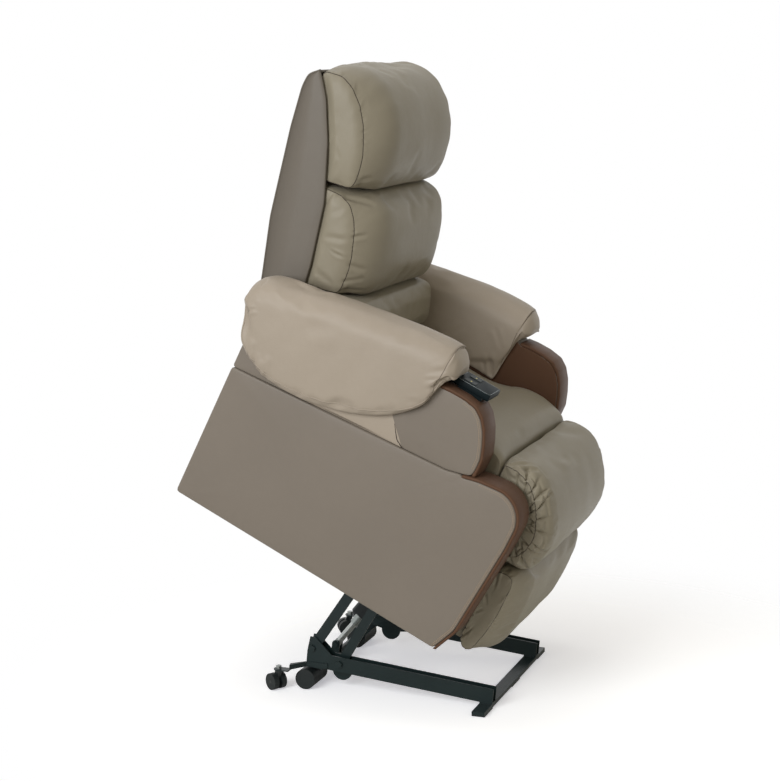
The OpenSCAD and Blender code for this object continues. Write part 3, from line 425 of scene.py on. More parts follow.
# Separate stitches laid along a line, each a short rounded thread
def stitches(name, line, length, pitch, radius, finish):
    line = np.asarray(line, float)
    run = runLength(line)
    points, faces = [], []
    sides, shares = 6, ((0.0, 0.35), (0.18, 1.0), (0.82, 1.0), (1.0, 0.35))
    for start in np.arange(pitch / 2, run[-1] - length, pitch):
        a, b = (pointsAt(at, run, line) for at in (start, start + length))
        side, other = across(unit(b - a))
        base, rows = len(points), len(shares)
        for t, fat in shares:
            for j in range(sides):
                angle = 2 * math.pi * j / sides
                points.append(a + (b - a) * t + radius * fat * (math.cos(angle) * side + math.sin(angle) * other))
        faces += ringFaces(rows, sides, False, base)
        faces += [tuple(base + j for j in reversed(range(sides))), tuple(base + (rows - 1) * sides + j for j in range(sides))]
    return outward(addMesh(name, points, faces, finish))


# Hides the nodes that a finished piece stands for, and fixes the piece to the body that it rides on
def settle(piece, body, nodes=()):
    if nodes:
        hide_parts(*nodes)
    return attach(piece, body)


# A crease: a groove along a line between two points of the local frame, in millimetres
def crease(local, start, end, width, depth, taper=0.35):
    start, end = np.asarray(start, float), np.asarray(end, float)
    along = end - start
    t = ((local - start) @ along) / (along @ along)
    near = start + np.clip(t, 0, 1)[:, None] * along
    away = np.linalg.norm(local - near, axis=1)
    fade = soften(np.clip(np.minimum((t + 0.15) / taper, (1.15 - t) / taper), 0, 1))
    groove = np.exp(-(away / width) ** 2) - 0.45 * np.exp(-((away - 1.9 * width) / (1.1 * width)) ** 2)
    return -depth * fade * groove


print("tools ready")

# Arms: each lower and upper arm is a padded panel with a brown band sewn round its front
arm = {
    "inside": 298, "thick": 87, "rearHigh": 366, "topRise": 0.083, "topRun": 600, "shoulder": (683, 438),
    "frontHigh": 445, "depth": 820, "round": 80, "frontLow": 315, "toeLean": 18, "toeRise": 67, "toeBack": 45,
    "bandFrom": 640, "band": 7, "gap": 0.3, "edge": 5.5, "crown": 5,
}
upper = {"set": 4.6, "top": [(522, 598), (562, 598)], "rearHigh": 531, "front": 667, "edge": 4.5, "crown": 3.0, "bandFrom": (494, 594.4),
         "panelFrom": (490, 594), "focus": (530, 434), "brownFrom": 490, "joint": [(435, 452), (446, 435), (457, 419), (478, 407)],
         "curve": [(598, 592), (621, 576), (641, 549), (656, 517), (668, 482), (669, 449)]}
handedNames = {-1: "right", 1: "left"}
faceShares = (0.06, 0.25, 0.45, 0.65, 0.8, 0.9, 0.96)
padding = {"panel": 0.9, "armPillow": 0.7, "pillow": 0.75, "roll": 0.8, "seat": 0.85}


# The line of the lower arm's front, from the flat top round to the floor edge
def armFront(inset):
    high = arm["rearHigh"] + arm["topRise"] * arm["topRun"]
    share = (arm["bandFrom"] - arm["topRun"]) / (arm["shoulder"][0] - arm["topRun"])
    start = high + share * (arm["shoulder"][1] - high)
    centre = (arm["depth"] - arm["round"], arm["frontHigh"] - arm["round"])
    bend = [(centre[0] + (arm["round"] - inset) * math.cos(a), centre[1] + (arm["round"] - inset) * math.sin(a))
            for a in np.radians(np.linspace(90, 0, 13))]
    return [(arm["bandFrom"], start - inset), (arm["shoulder"][0], arm["shoulder"][1] - inset)] + bend + [
        (arm["depth"] - inset, arm["frontLow"]), (arm["depth"] - arm["toeLean"] - inset, arm["toeRise"]),
        (arm["depth"] - arm["toeBack"] - inset, 0)]


# A panel: an outline run across X, with soft edges and slightly crowned faces
def panelForm(name, outline, x0, x1, finish, side, count, edge, crown):
    loop = evenLoop(outline, count, 1)
    centre = loop.mean(0)
    reach = np.linalg.norm(loop - centre, axis=1)
    rings = []

    def ring(x, inset, share=None):
        scale = (1 - inset / reach)[:, None] if share is None else share
        flat = centre + (loop - centre) * scale
        rings.append(np.column_stack([np.full(count, x * side), flat]))
    for share in faceShares:
        ring(x0, 0, share)
    steps = np.radians(np.linspace(90, 0, 6))
    for a in steps:
        ring(x0 + edge * (1 - math.sin(a)), edge * (1 - math.cos(a)))
    for t in (0.2, 0.4, 0.6, 0.8):
        ring(x0 + (x1 - x0) * t, 0)
    for a in steps[::-1]:
        ring(x1 - edge * (1 - math.sin(a)), edge * (1 - math.cos(a)))
    for share in faceShares[::-1]:
        ring(x1 + crown * (1 - share ** 3), 0, share)
    return ringForm(name, rings, finish, seatPoints)


# A band: a flat strip with soft edges that follows a line in the side view
def bandForm(name, outer, inner, x0, x1, finish, side, count=90, edge=3.0, toRow=seatPoints):
    outer, inner = evenLine(outer, count), evenLine(inner, count)
    rings = []
    for o, i in zip(outer, inner):
        corner = []
        for (x, t) in ((x0, 0.0), (x0, 0.55), (x0 + 0.35 * edge, 0.85), (x0 + edge, 1.0), ((x0 + x1) / 2, 1.04), (x1 - edge, 1.0),
                       (x1 - 0.35 * edge, 0.85), (x1, 0.55), (x1, 0.0), ((x0 + x1) / 2, 0.0)):
            flat = i + (o - i) * t
            corner.append((x * side, *flat))
        rings.append(corner)
    return ringForm(name, rings, finish, toRow)


stitchLook = {"length": 3.6, "pitch": 5.4, "radius": 0.55, "rows": (4.5, 8.5), "middle": (500.0, 200.0)}
brownLook = {"sideways": 0.75, "edgeways": 0.72, "upwards": 0.2, "high": 598}


# The faces of a panel that look towards the seat are brown, and so is its top in front of a place
def brownInside(piece, side, topFrom=None):
    piece.data.materials.append(finishes["brown"])
    facing, middle = rowsOf(piece.data.polygons, "normal"), rowsOf(piece.data.polygons, "center")
    brown = facing[:, 0] * side < -brownLook["sideways"]
    if topFrom:
        top = (abs(facing[:, 0]) < brownLook["edgeways"]) & (facing[:, 2] > brownLook["upwards"])
        brown |= top & (middle[:, 1] < seatPoints([0, topFrom, brownLook["high"]])[1])
    piece.data.polygons.foreach_set("material_index", brown.astype(int))


# Rows of stitches inside a panel's edge
def topStitch(name, line, side, x, body):
    line = evenLine(line, 160, 2)
    step = unit(np.gradient(line, axis=0))
    inward = np.column_stack([step[:, 1], -step[:, 0]])
    inward *= np.sign(((np.array(stitchLook["middle"]) - line) * inward).sum(1))[:, None]
    for number, off in enumerate(stitchLook["rows"]):
        path = line + inward * off
        row = seatPoints(np.column_stack([np.full(len(path), x * side), path]))
        piece = stitches(f"{name}{number}", row, stitchLook["length"] * mm, stitchLook["pitch"] * mm, stitchLook["radius"] * mm, "stitch")
        settle(piece, body)


def makeArms():
    outside = arm["inside"] + arm["thick"]
    for side, hand in handedNames.items():
        label = hand.capitalize()
        core = [(0, 0), (0, arm["rearHigh"]), (arm["topRun"], arm["rearHigh"] + arm["topRise"] * arm["topRun"]), armFront(0)[0]]
        core += armFront(arm["band"] + arm["gap"])
        piece = panelForm("lowerArm" + label, core, arm["inside"], outside, "panel", side, 300, arm["edge"], arm["crown"])
        brownInside(piece, side)
        settle(piece, "carriage", [f"lower_arm_{hand}"])
        band = bandForm("lowerArmBand" + label, armFront(0), armFront(arm["band"]), arm["inside"], outside, "brown", side, 120)
        settle(band, "carriage", [f"lower_band_{hand}"])
        topStitch("lowerStitch" + label, armFront(arm["band"] + 1)[1:], side, outside + 0.2, "carriage")

        low, high = arm["inside"] - upper["set"], outside - upper["set"]
        edge = np.array([upper["bandFrom"]] + upper["top"] + upper["curve"], float)
        away = unit(edge - np.array(upper["focus"], float))
        insetEdge = lambda d: [tuple(p) for p in edge - d * away]
        rest = armFront(0)[0][1]
        along = (upper["front"] - arm["bandFrom"]) / (arm["shoulder"][0] - arm["bandFrom"])
        foot = rest + along * (arm["shoulder"][1] - rest)
        shape = [(0, arm["rearHigh"] + 0.3), (0, upper["rearHigh"]), upper["panelFrom"]] + insetEdge(arm["band"] + arm["gap"])
        shape += [(upper["front"] - arm["band"] - arm["gap"], foot), (arm["bandFrom"], rest + 0.3),
                  (arm["topRun"], arm["rearHigh"] + arm["topRise"] * arm["topRun"] + 0.3)]
        piece = panelForm("upperArm" + label, shape, low, high, "upperPanel", side, 240, upper["edge"], upper["crown"])
        brownInside(piece, side, upper["brownFrom"])
        settle(piece, "carriage", [f"upper_arm_{hand}"])
        outer = insetEdge(0) + [(upper["front"] + 2, foot + 0.8)]
        inner = insetEdge(arm["band"]) + [(upper["front"] - arm["band"], foot + 0.8)]
        band = bandForm("upperArmBand" + label, outer, inner, low, high, "brown", side, 80)
        settle(band, "carriage", [f"upper_band_{hand}"])
        row = seatPoints(np.column_stack([np.full(30, side * (high + 2.3)), evenLine(upper["joint"], 30, 2)]))
        settle(welt("insertSeam" + label, row, 0.9 * mm, "seam"), "carriage")
        topStitch("upperStitch" + label, insetEdge(arm["band"] + 1)[2:], side, high + 0.2, "carriage")


makeArms()
print("arms made")


# Gentle unevenness of filling, as waves of random direction
def unevenness(points, seed, longest, shortest, depth):
    rng = np.random.RandomState(seed)
    total = np.zeros(len(points))
    for _ in range(9):
        way = unit(rng.normal(size=3))
        total += np.sin(points @ way * 2 * math.pi / rng.uniform(shortest, longest) + rng.uniform(0, 6.28)) / 3
    return depth * total


# Small grooves that start at a seam, at uneven spacing
def puckers(points, seam, inward, seed, look):
    count, length, width, depth = look["puckers"], look["puckerLength"], look["puckerWidth"], look["puckerDepth"]
    rng = np.random.RandomState(seed)
    total = np.zeros(len(points))
    for place in np.arange(count) / count + rng.uniform(-0.4, 0.4, count) / count:
        index = int(place * len(seam)) % len(seam)
        along = seam[(index + 2) % len(seam)] - seam[index - 2]
        reach = inward * length * rng.uniform(0.4, 1.4) + unit(along) * rng.uniform(-0.4, 0.4) * length
        start = seam[index] - (reach * 0.4 if rng.rand() < 0.4 else 0)
        total += crease(points, start, seam[index] + reach, width * rng.uniform(0.6, 1.2), depth * rng.uniform(0.3, 1.2), 0.5)
    return total


# For each point of a loop, the point of another outline in the same direction from the centre
def alongRays(loop, outline, centre):
    fine = evenLoop(outline, 720, 4) - centre
    angle = np.arctan2(fine[:, 1], fine[:, 0])
    order = np.argsort(angle)
    away = loop - centre
    wanted = np.arctan2(away[:, 1], away[:, 0])
    reach = np.interp(wanted, angle[order], np.linalg.norm(fine, axis=1)[order], period=2 * math.pi)
    return centre + unit(away) * reach[:, None]


# Gathered leather beside a seam: uneven puffs between tight pleats, for a ring at a distance from the seam
class Gathers:
    def __init__(self, around, number, reach, seed):
        rng = np.random.RandomState(seed)
        self.around, self.number = around, number
        places = np.sort((np.arange(number) + rng.uniform(-0.36, 0.36, number)) / number * around)
        self.places = np.concatenate([places, [places[0] + around]])
        self.sizes = rng.uniform(0.45, 1.0, number)
        self.reach = rng.uniform(0.45, 1.25, number) * reach
        self.knot = rng.uniform(0.3, 0.8, number) * reach
        at = np.arange(around) / around * 2 * math.pi
        self.drift = sum(rng.uniform(0.2, 0.5) * np.sin(at * k + rng.uniform(0, 6.28)) for k in (2, 5, 9, 14))

    def height(self, away):
        at = np.arange(self.around) + self.drift * away / 4.5
        at = (at - self.places[0]) % self.around + self.places[0]
        index = np.clip(np.searchsorted(self.places, at, side="right") - 1, 0, self.number - 1)
        t = (at - self.places[index]) / (self.places[index + 1] - self.places[index])
        puff = np.abs(np.sin(math.pi * t)) ** 0.6 * self.sizes[index]
        fade = np.exp(-(away / self.reach[index]) ** 2)
        pinch = 0.45 * np.exp(-((away - self.knot[index]) / 3.2) ** 2) * np.sin(math.pi * t) ** 2
        return (puff - 0.4 - pinch) * fade


# A cushion across the seat: a side outline that draws in to a seam near each end
def roundCushion(name, outline, centre, half, look, toRow, seed, gatherOn=None):
    around, middle = look["around"], 20
    full = evenLoop(outline, around, look.get("smooth", 4))
    centre = np.asarray(centre, float)
    if "seamLine" in look:
        seam = alongRays(full, look["seamLine"], np.asarray(look["seamLine"], float).mean(0))
        seam = 0.5 * seam + 0.25 * (np.roll(seam, 1, 0) + np.roll(seam, -1, 0))
    else:
        seam = centre + (full - centre) * np.array(look["seamShare"])
    ends = {-1: (look["rounding"], look["power"]), 1: (look.get("farRounding", look["rounding"]), look.get("farPower", look["power"]))}
    fine = look.get("steps", 12)
    steps = [(i / fine) ** 1.35 for i in range(fine + 1)]
    seamCentre = seam.mean(0)
    caps = look.get("caps", (0.97, 0.9, 0.8, 0.66, 0.48, 0.28, 0.1))
    size = np.linalg.norm(seam - seamCentre, axis=1).mean()
    depth = look.get("gatherDepth", 0)
    if depth:
        outerFold = Gathers(around, look["gathers"], look["gatherReach"], seed)
        innerFold = Gathers(around, look["gathers"] + 2, look["gatherReach"] * 0.8, seed + 5)
    radial = unit(full - centre, 1)

    def capRings(sign):
        made, bent = [], []
        for share in caps:
            loop = seamCentre + (seam - seamCentre) * share
            x = np.full(around, half - look.get("sideDip", 0) * (1 - share ** 2))
            if "bulge" in look:
                x = x + look["bulge"](loop) * (1 - share ** 6)
            made.append(np.column_stack([sign * x, loop]))
            fold = 0 * x
            if depth:
                away = size * (1 - share)
                fold = innerFold.height(away) * depth * min(1, away / 2.5) * gatherOn(loop) * look.get("innerShare", 1)
            bent.append(np.column_stack([sign * fold, 0 * fold, 0 * fold]))
        return made, bent

    def endRings(sign):
        made, bent = [], []
        rounding, power = ends[sign]
        for u in reversed(steps):
            k = 1 - (1 - u) ** power
            loop = seam + (full - seam) * k
            x = np.full(around, half - rounding * u)
            made.append(np.column_stack([sign * x, loop]))
            fold = 0 * x
            if depth:
                away = math.hypot(rounding * u, float(np.linalg.norm(full - seam, axis=1).mean()) * k)
                fold = outerFold.height(away) * depth * min(1, away / 3.0) * gatherOn(loop)
                fold = fold * (0.55 if sign > 0 else 1.0) * (1 - u ** 3)
            bent.append(np.column_stack([sign * fold * 0.75, radial * (fold * 0.7)[:, None]]))
        return made, bent

    # Rings from the right end's middle to the left end's, and how far the gathers move each one
    capLow, endLow, endHigh, capHigh = capRings(-1), endRings(-1), endRings(1), capRings(1)
    between = [np.column_stack([np.full(around, x), full]) for x in np.linspace(ends[-1][0] - half, half - ends[1][0], middle)[1:-1]]
    rings = capLow[0][::-1] + endLow[0][::-1] + between + endHigh[0] + capHigh[0]
    bent = capLow[1][::-1] + endLow[1][::-1] + [0 * ring for ring in between] + endHigh[1] + capHigh[1]
    seamLow = len(capLow[0])
    seamHigh = len(rings) - len(capHigh[0]) - 1
    piece = ringForm(name, rings, look["finish"], toRow)
    count = len(rings) * around
    held = np.zeros(len(piece.data.vertices), bool)
    held[:(seamLow + 1) * around] = True
    held[seamHigh * around:] = True
    held[:count] |= look["hold"](np.asarray(rings, float).reshape(-1, 3))
    swell(piece, held, look["pressure"], look["grow"], look["cap"] * mm)
    if depth:
        moved = coords(piece)
        moved[:count] += toRow(np.asarray(bent).reshape(-1, 3)) - toRow(np.zeros(3))
        setCoords(piece, moved)
    subdivide(piece)
    points = coords(piece) * 1000
    seams = [points[ring * around:(ring + 1) * around] for ring in (seamLow, seamHigh)]
    amount = unevenness(points, seed, 260, 90, look["uneven"])
    for number, (line, sign) in enumerate(zip(seams, (1, -1))):
        amount += puckers(points, line, np.array([sign, 0, 0.0]), seed + 10 + number, look)
    for start, end, width, depth in look.get("creases", ()):
        row = toRow(np.array([start, end])) * 1000
        amount += crease(points, row[0], row[1], width, depth)
    for ring in (seamLow, seamHigh):
        amount[ring * around:(ring + 1) * around] -= 0.7
    push(piece, amount * mm)
    points = coords(piece)
    if "limit" in look:
        points[:, 0] = np.clip(points[:, 0], -look["limit"] * mm, look["limit"] * mm)
        setCoords(piece, points)
    welts = []
    for number, ring in enumerate((seamLow, seamHigh) if look["welt"] else ()):
        line = points[ring * around:(ring + 1) * around]
        welts.append(welt(f"{name}Seam{number}", line, look["welt"] * mm, "seam", True, 6))
    return piece, welts


# Settles a cushion and the welts along its seams
def placeCushion(made, body, nodes):
    piece, welts = made
    settle(piece, body, nodes)
    for line in welts:
        settle(line, body)


sideLook = {"edge": [(28, 90), (292, 103), (343, 107), (501, 104), (649, 77), (749, 48), (795, 28), (840, 20)], "out": 13, "clear": 1,
            "over": 26}


# How far the pillows' sides stand out in front of the side panels
def sideBulge(loop):
    edge = np.interp(loop[:, 1], [v for v, _ in sideLook["edge"]], [w for _, w in sideLook["edge"]])
    t = np.clip((loop[:, 0] - edge - sideLook["clear"]) / sideLook["over"], 0, 1)
    return sideLook["out"] * soften(t)


pillowLook = {"around": 148, "rounding": 105, "power": 2.3, "farRounding": 34, "farPower": 2.5, "finish": "pillow", "pressure": 3.5,
              "grow": 0.008, "cap": 8, "uneven": 0.9, "puckers": 30, "puckerLength": 26, "puckerWidth": 3.6, "puckerDepth": 1.5,
              "welt": 1.15, "bulge": sideBulge}
pillowPlace = {"rear": 21.5, "half": 259, "heldTo": 12, "heldBelow": 5}
backPillows = {
    "headPillow": {
        "node": "head_pillow", "low": 552, "high": 286, "deep": 204, "seed": 21, "free": 20,
        "shares": [(0, 0.03), (0, 0.94), (0.06, 0.985), (0.16, 1), (0.3, 1), (0.46, 0.98), (0.64, 0.92), (0.84, 0.77), (0.95, 0.6),
                   (1, 0.42), (0.995, 0.22), (0.95, 0.08), (0.84, 0), (0.3, 0.01)],
        "seam": [(22, 560), (22, 800), (30, 812), (40, 812), (75, 811), (107, 791), (137, 754), (156, 712), (166, 673), (173, 640),
                 (174, 611), (172, 580), (165, 558), (150, 554), (106, 554), (60, 558)],
        "creases": [((-60, 95, 836), (120, 70, 838), 26, 4), ((-262, 128, 560), (-230, 196, 566), 5, 3.0),
                    ((-262, 150, 574), (-225, 205, 590), 6, 2.0), ((-272, 66, 700), (-272, 90, 716), 6, 1.6),
                    ((-272, 92, 640), (-273, 118, 630), 5, 2.0), ((-272, 100, 560), (-273, 120, 600), 6, 2.4),
                    ((-262, 30, 770), (-262, 44, 720), 4, 2.4)]},
    "middlePillow": {
        "node": "middle_pillow", "low": 288, "high": 262, "deep": 243, "seed": 34, "free": -5,
        "shares": [(0, 0.02), (0, 0.98), (0.35, 1), (0.695, 1), (0.83, 0.955), (0.92, 0.86), (0.975, 0.68), (1, 0.42), (0.995, 0.2),
                   (0.96, 0.08), (0.86, 0), (0.3, 0)],
        "seam": [(22, 300), (22, 538), (80, 538), (111, 536), (143, 532), (172, 514), (188, 485), (197, 455), (206, 393), (207, 360),
                 (204, 333), (196, 294), (160, 290), (116, 292), (60, 296)],
        "creases": [((-262, 190, 300), (-200, 240, 312), 6, 3.2), ((-262, 200, 326), (-225, 238, 345), 5, 2.4),
                    ((-270, 120, 335), (-273, 175, 316), 6, 3.0), ((-273, 160, 392), (-273, 196, 388), 4, 2.4),
                    ((-273, 130, 425), (-273, 188, 432), 7, 1.8), ((-256, 150, 530), (-210, 216, 524), 6, 3.0),
                    ((-262, 196, 440), (-238, 222, 452), 5, 2.2), ((-273, 120, 480), (-273, 160, 500), 7, 1.6),
                    ((-262, 205, 372), (-232, 240, 366), 6, 2.2), ((-262, 120, 532), (-262, 110, 500), 5, 2.4)]},
    "lumbarPillow": {
        "node": "lumbar_pillow", "low": 160, "high": 127, "deep": 262, "seed": 47, "free": -5,
        "own": {"around": 110, "rounding": 34, "power": 2.6, "farRounding": 20, "farPower": 3.2, "cap": 5},
        "shares": [(0, 0.233), (0, 0.97), (0.3, 1), (0.86, 1), (0.93, 0.98), (0.965, 0.86), (0.98, 0.5), (1, 0.25), (0.985, 0.1),
                   (0.93, 0.02), (0.8, 0), (0.6, 0.02), (0.3, 0.1)],
        "seam": [(22, 200), (22, 280), (100, 283), (220, 283), (244, 272), (260, 226), (270, 192), (262, 172), (220, 166), (100, 178)],
        "creases": [((-120, 262, 290), (-60, 290, 240), 12, 2.0), ((120, 262, 288), (90, 290, 230), 12, 1.6)]},
}


def makeBackPillows():
    rear = pillowPlace["rear"]
    for name, made in backPillows.items():
        outline = [(rear + d * made["deep"], made["low"] + h * made["high"]) for d, h in made["shares"]]
        low, high = made["low"] + pillowPlace["heldBelow"], made["low"] + made["high"] + made["free"]
        look = dict(pillowLook, creases=made["creases"], seamLine=made["seam"], **made.get("own", {}),
                    hold=lambda grid: (grid[:, 1] < rear + pillowPlace["heldTo"]) | (grid[:, 2] < low) | (grid[:, 2] > high))
        cushion = roundCushion(name, outline, (rear, made["low"] + made["high"] / 2), pillowPlace["half"], look, backPoints, made["seed"])
        placeCushion(cushion, "back", [made["node"]])


makeBackPillows()
print("back pillows made")

# The seat, its front roll and the footrest's pad: gathers start a little in front of each one's rear face
plain = {"bulge": lambda loop: 0 * loop[:, 0]}
gatherStart = {"clear": 4, "over": 22}
seatLook = dict(pillowLook, **plain, rounding=30, farRounding=30, seamShare=(0.985, 0.92), cap=6, puckers=18, around=110, smooth=2, welt=0)
rollLook = dict(
    pillowLook, **plain, rounding=58, power=2.5, farRounding=46, farPower=2.5, gathers=19, gatherDepth=27, gatherReach=38, around=264,
    steps=18, cap=5, grow=0.006, puckers=42, puckerLength=28, puckerWidth=2.8, puckerDepth=3.4, welt=0.8, smooth=12, sideDip=7, limit=284.3,
    seamLine=[(704, 300), (704, 468), (735, 469), (761, 463), (781, 453), (800, 436), (818, 412), (833, 386), (844, 358), (848, 333),
              (844, 305), (833, 281), (817, 268), (790, 259), (740, 255), (706, 258)],
    caps=(0.985, 0.965, 0.94, 0.91, 0.87, 0.82, 0.76, 0.68, 0.55, 0.36, 0.15))
padLook = dict(
    pillowLook, **plain, rounding=95, power=2.2, farRounding=40, farPower=2.5, gathers=21, gatherDepth=6, gatherReach=16, innerShare=0.7,
    around=220, steps=16, cap=5, grow=0.006, puckers=44, puckerLength=20, puckerWidth=2.4, puckerDepth=1.9, welt=0.9, smooth=8, sideDip=4,
    seamLine=[(800, 34), (800, 212), (812, 220), (834, 223), (849, 218), (855, 196), (856, 120), (850, 60), (839, 6), (828, -4), (814, -4),
              (800, 14)])
seatCushions = {
    "seatCushion": {
        "look": seatLook, "node": "seat_cushion", "body": "carriage", "fill": padding["seat"], "rear": 0, "centre": (400, 400),
        "half": 288, "seed": 53, "held": (2, 345),
        "side": [(112, 336), (698, 336), (701, 346), (701, 474), (694, 481), (660, 490), (625, 496), (590, 498), (555, 492), (525, 481),
                 (500, 472), (460, 466), (400, 467), (330, 473), (240, 481), (150, 483), (116, 478), (112, 470)],
        "creases": [((-262, 640, 492), (-190, 560, 496), 9, 2.4), ((262, 640, 492), (190, 560, 496), 9, 2.4)]},
    "frontRoll": {
        "look": rollLook, "node": "front_roll", "body": "carriage", "fill": padding["roll"], "rear": 701.3, "centre": (0, 350),
        "half": 284, "seed": 61, "held": (1, 707.3),
        "side": [(0, 300), (0, 480), (20, 488), (49, 491), (75, 488), (99, 478), (131, 453), (160, 417), (180, 380), (187, 345), (184, 300),
                 (176, 265), (164, 245), (149, 238), (99, 236)],
        "creases": [((-286, 716, 474), (-252, 748, 492), 5, 4.0), ((-286, 736, 472), (-246, 776, 486), 5, 3.4),
                    ((-284, 704, 480), (-262, 726, 492), 4, 3.0), ((-278, 836, 372), (-236, 880, 380), 6, 2.6),
                    ((-278, 838, 330), (-230, 884, 322), 6, 2.6), ((-275, 826, 292), (-220, 880, 280), 6, 2.6),
                    ((-276, 800, 448), (-242, 836, 452), 6, 2.4)]},
    "footrestPad": {
        "look": padLook, "node": "footrest_pad", "body": "footrest", "fill": padding["seat"], "rear": 798.3, "centre": (0, 112),
        "half": 279, "seed": 73, "held": (1, 802.3),
        "side": [(0, 226), (16, 239), (46, 246), (66, 242), (80, 226), (89, 192), (93, 142), (93, 100), (90, 55), (83, 22), (68, 0),
                 (50, -8), (30, -8), (12, -3), (0, 16)],
        "creases": [((-280, 800, 18), (-276, 816, 50), 3, 3.0), ((-280, 816, 22), (-276, 800, 48), 3, 3.0),
                    ((-276, 826, 226), (-215, 872, 170), 6, 3.0), ((-276, 816, 232), (-190, 868, 206), 5, 3.0),
                    ((-279, 806, 222), (-279, 818, 178), 4, 2.6), ((-279, 804, 150), (-279, 820, 128), 4, 2.2),
                    ((-279, 803, 96), (-279, 816, 112), 4, 2.2)]},
}


def makeSeat():
    for name, made in seatCushions.items():
        rear, (axis, reach) = made["rear"], made["held"]
        look = dict(made["look"], creases=made["creases"], hold=lambda grid: grid[:, axis] < reach)
        ahead = lambda loop: np.clip((loop[:, 0] - rear - gatherStart["clear"]) / gatherStart["over"], 0, 1)
        centre = (rear + made["centre"][0], made["centre"][1])
        side = [(rear + d, z) for d, z in made["side"]]
        cushion = roundCushion(name, side, centre, made["half"], look, seatPoints, made["seed"], ahead)
        placeCushion(cushion, made["body"], [made["node"]])


makeSeat()
print("seat made")

# Arm pillows hang over the arms, and end in a small sewn cap
drape = {
    "outside": 405, "inside": 278, "faceOut": 380.7, "faceIn": 293.1, "hang": 470, "around": 120, "lining": 38, "endAt": 488,
    "stations": [(-38, 566, 545, 0.42), (-34, 584, 530, 0.68), (-27, 594, 517, 0.8), (-20, 601, 505, 0.86), (-14, 606, 476, 0.91),
                 (-9, 610, 458, 0.93), (-3, 613, 446, 0.94), (5, 616, 437, 0.95), (15, 619, 429, 0.97), (32, 623, 417, 0.98),
                 (66, 630, 400, 0.99), (90, 636, 391, 1), (118, 642, 387, 1), (160, 652, 385, 1), (208, 661, 388, 1), (260, 670, 400, 1),
                 (313, 678, 416, 1), (355, 684, 433, 1), (397, 690, 454, 1), (432, 694, 479, 0.99), (462, 696, 506, 0.98),
                 (480, 696, 533, 0.97), (488, 695, 553, 0.96), (495, 692, 592, 0.94), (501, 688, 608, 0.9), (508, 681, 613, 0.84),
                 (515, 670, 619, 0.72), (521, 656, 628, 0.52)],
    "folds": [((-405, 36, 410), (-405, 31, 462), 3.6, 5.6), ((-405, 77, 388), (-405, 74, 430), 3.6, 6.0),
              ((-405, 98, 388), (-405, 83, 446), 4, 5.4), ((-405, -26, 508), (-405, 4, 536), 4, 6.0),
              ((-405, 58, 400), (-405, 52, 440), 5, 3.4), ((-404, 500, 613), (-405, 463, 599), 5, 5.0),
              ((-404, 502, 606), (-405, 474, 578), 5, 4.0), ((-405, 478, 540), (-405, 448, 530), 7, 2.4),
              ((-405, 440, 480), (-405, 410, 500), 8, 1.8), ((-372, 470, 696), (-360, 380, 696), 10, 1.6),
              ((-405, 140, 560), (-404, 210, 600), 18, 1.8), ((-404, 496, 640), (-404, 470, 625), 6, 2.4),
              ((-280, 470, 560), (-278, 430, 600), 7, 2.4), ((-278, 478, 476), (-278, 446, 530), 6, 4.0),
              ((-278, 458, 472), (-278, 440, 500), 5, 3.0), ((-280, 60, 560), (-278, 150, 590), 7, 2.4),
              ((-278, 300, 490), (-278, 330, 560), 8, 2.0), ((-404, 250, 398), (-405, 300, 440), 10, 1.4)],
    "rearRuns": [-38, -36, -33, -29, -24, -18, -12, -6, -1], "frontRuns": [485, 488, 492, 496, 501, 506, 511, 516, 521],
    "shift": {1: (-14, -12), -1: (0, 0)}, "shiftFrom": 330, "shiftOver": 150, "upperFrom": 600, "upperOver": 60,
    "pressure": 2.4, "grow": 0.03, "cap": 6, "uneven": (240, 80, 0.8), "seed": 80, "hem": 1.5, "capSeam": 0.8,
}


# The height of the upper arm's top under the pillow
def armTop(f):
    run, high = upper["top"][0]
    return high - (high - upper["rearHigh"]) * (1 - min(f, run) / run)


# A pillow's front part is a little further back and lower on one arm: the share of that shift at a place
def shiftShare(f):
    return np.clip((f - drape["shiftFrom"]) / drape["shiftOver"], 0, 1)


# One ring round an arm: the outside, the top and the inside, then the lining back along the arm
def pillowRing(station):
    f, top, low, share = station
    straddle = 0 <= f <= drape["endAt"]
    centre = (drape["outside"] + drape["inside"]) / 2
    half = (drape["outside"] - drape["inside"]) / 2 * (0.5 + 0.5 * share)
    a, b = centre + half, centre - half
    flap = drape["hang"] - (max(0, f - 440) * 0.1 if straddle else 0)
    hang = flap if straddle else max(low, flap)
    outer = [(a - 10, low), (a - 3, low - 1.5), (a + 0.5, low + 5), (a + 2, low + 0.35 * (top - low)), (a + 1, top - 52), (a - 7, top - 24),
             (a - 20, top - 8), (centre + 0.4 * half, top - 1), (centre, top + 1), (centre - 0.4 * half, top - 1), (b + 20, top - 8),
             (b + 7, top - 24), (b, top - 52), (b - 2, hang + 0.4 * (top - hang)), (b - 1, hang + 8), (b + 2, hang - 1), (b + 8, hang)]
    if not straddle:
        fat = min(1, (top - low) / 70)
        outer = [(x, low + (top - low) * min(1, max(0, (z - low) / (top + 1 - low)))) if fat < 1 else (x, z) for x, z in outer]
    outer = evenLine(outer, drape["around"] - drape["lining"], 4)
    p, q = min(a - 10, drape["faceOut"]), max(b + 8, drape["faceIn"])
    if straddle:
        roof = armTop(f) + 0.6
        inner = [(b + 8, hang), (q, hang + 1), (q, roof), (p, roof), (p, low + 1), (a - 10, low)]
    else:
        mid = low + (hang - low) / 3
        inner = [(b + 8, hang), ((p + 2 * q) / 3, hang - (hang - low) / 3), ((2 * p + q) / 3, mid), (a - 10, low)]
    inner = evenLine(inner, drape["lining"] + 2, 0)[1:-1]
    section = np.vstack([outer, inner])
    return np.column_stack([section[:, 0], np.full(len(section), f), section[:, 1]])


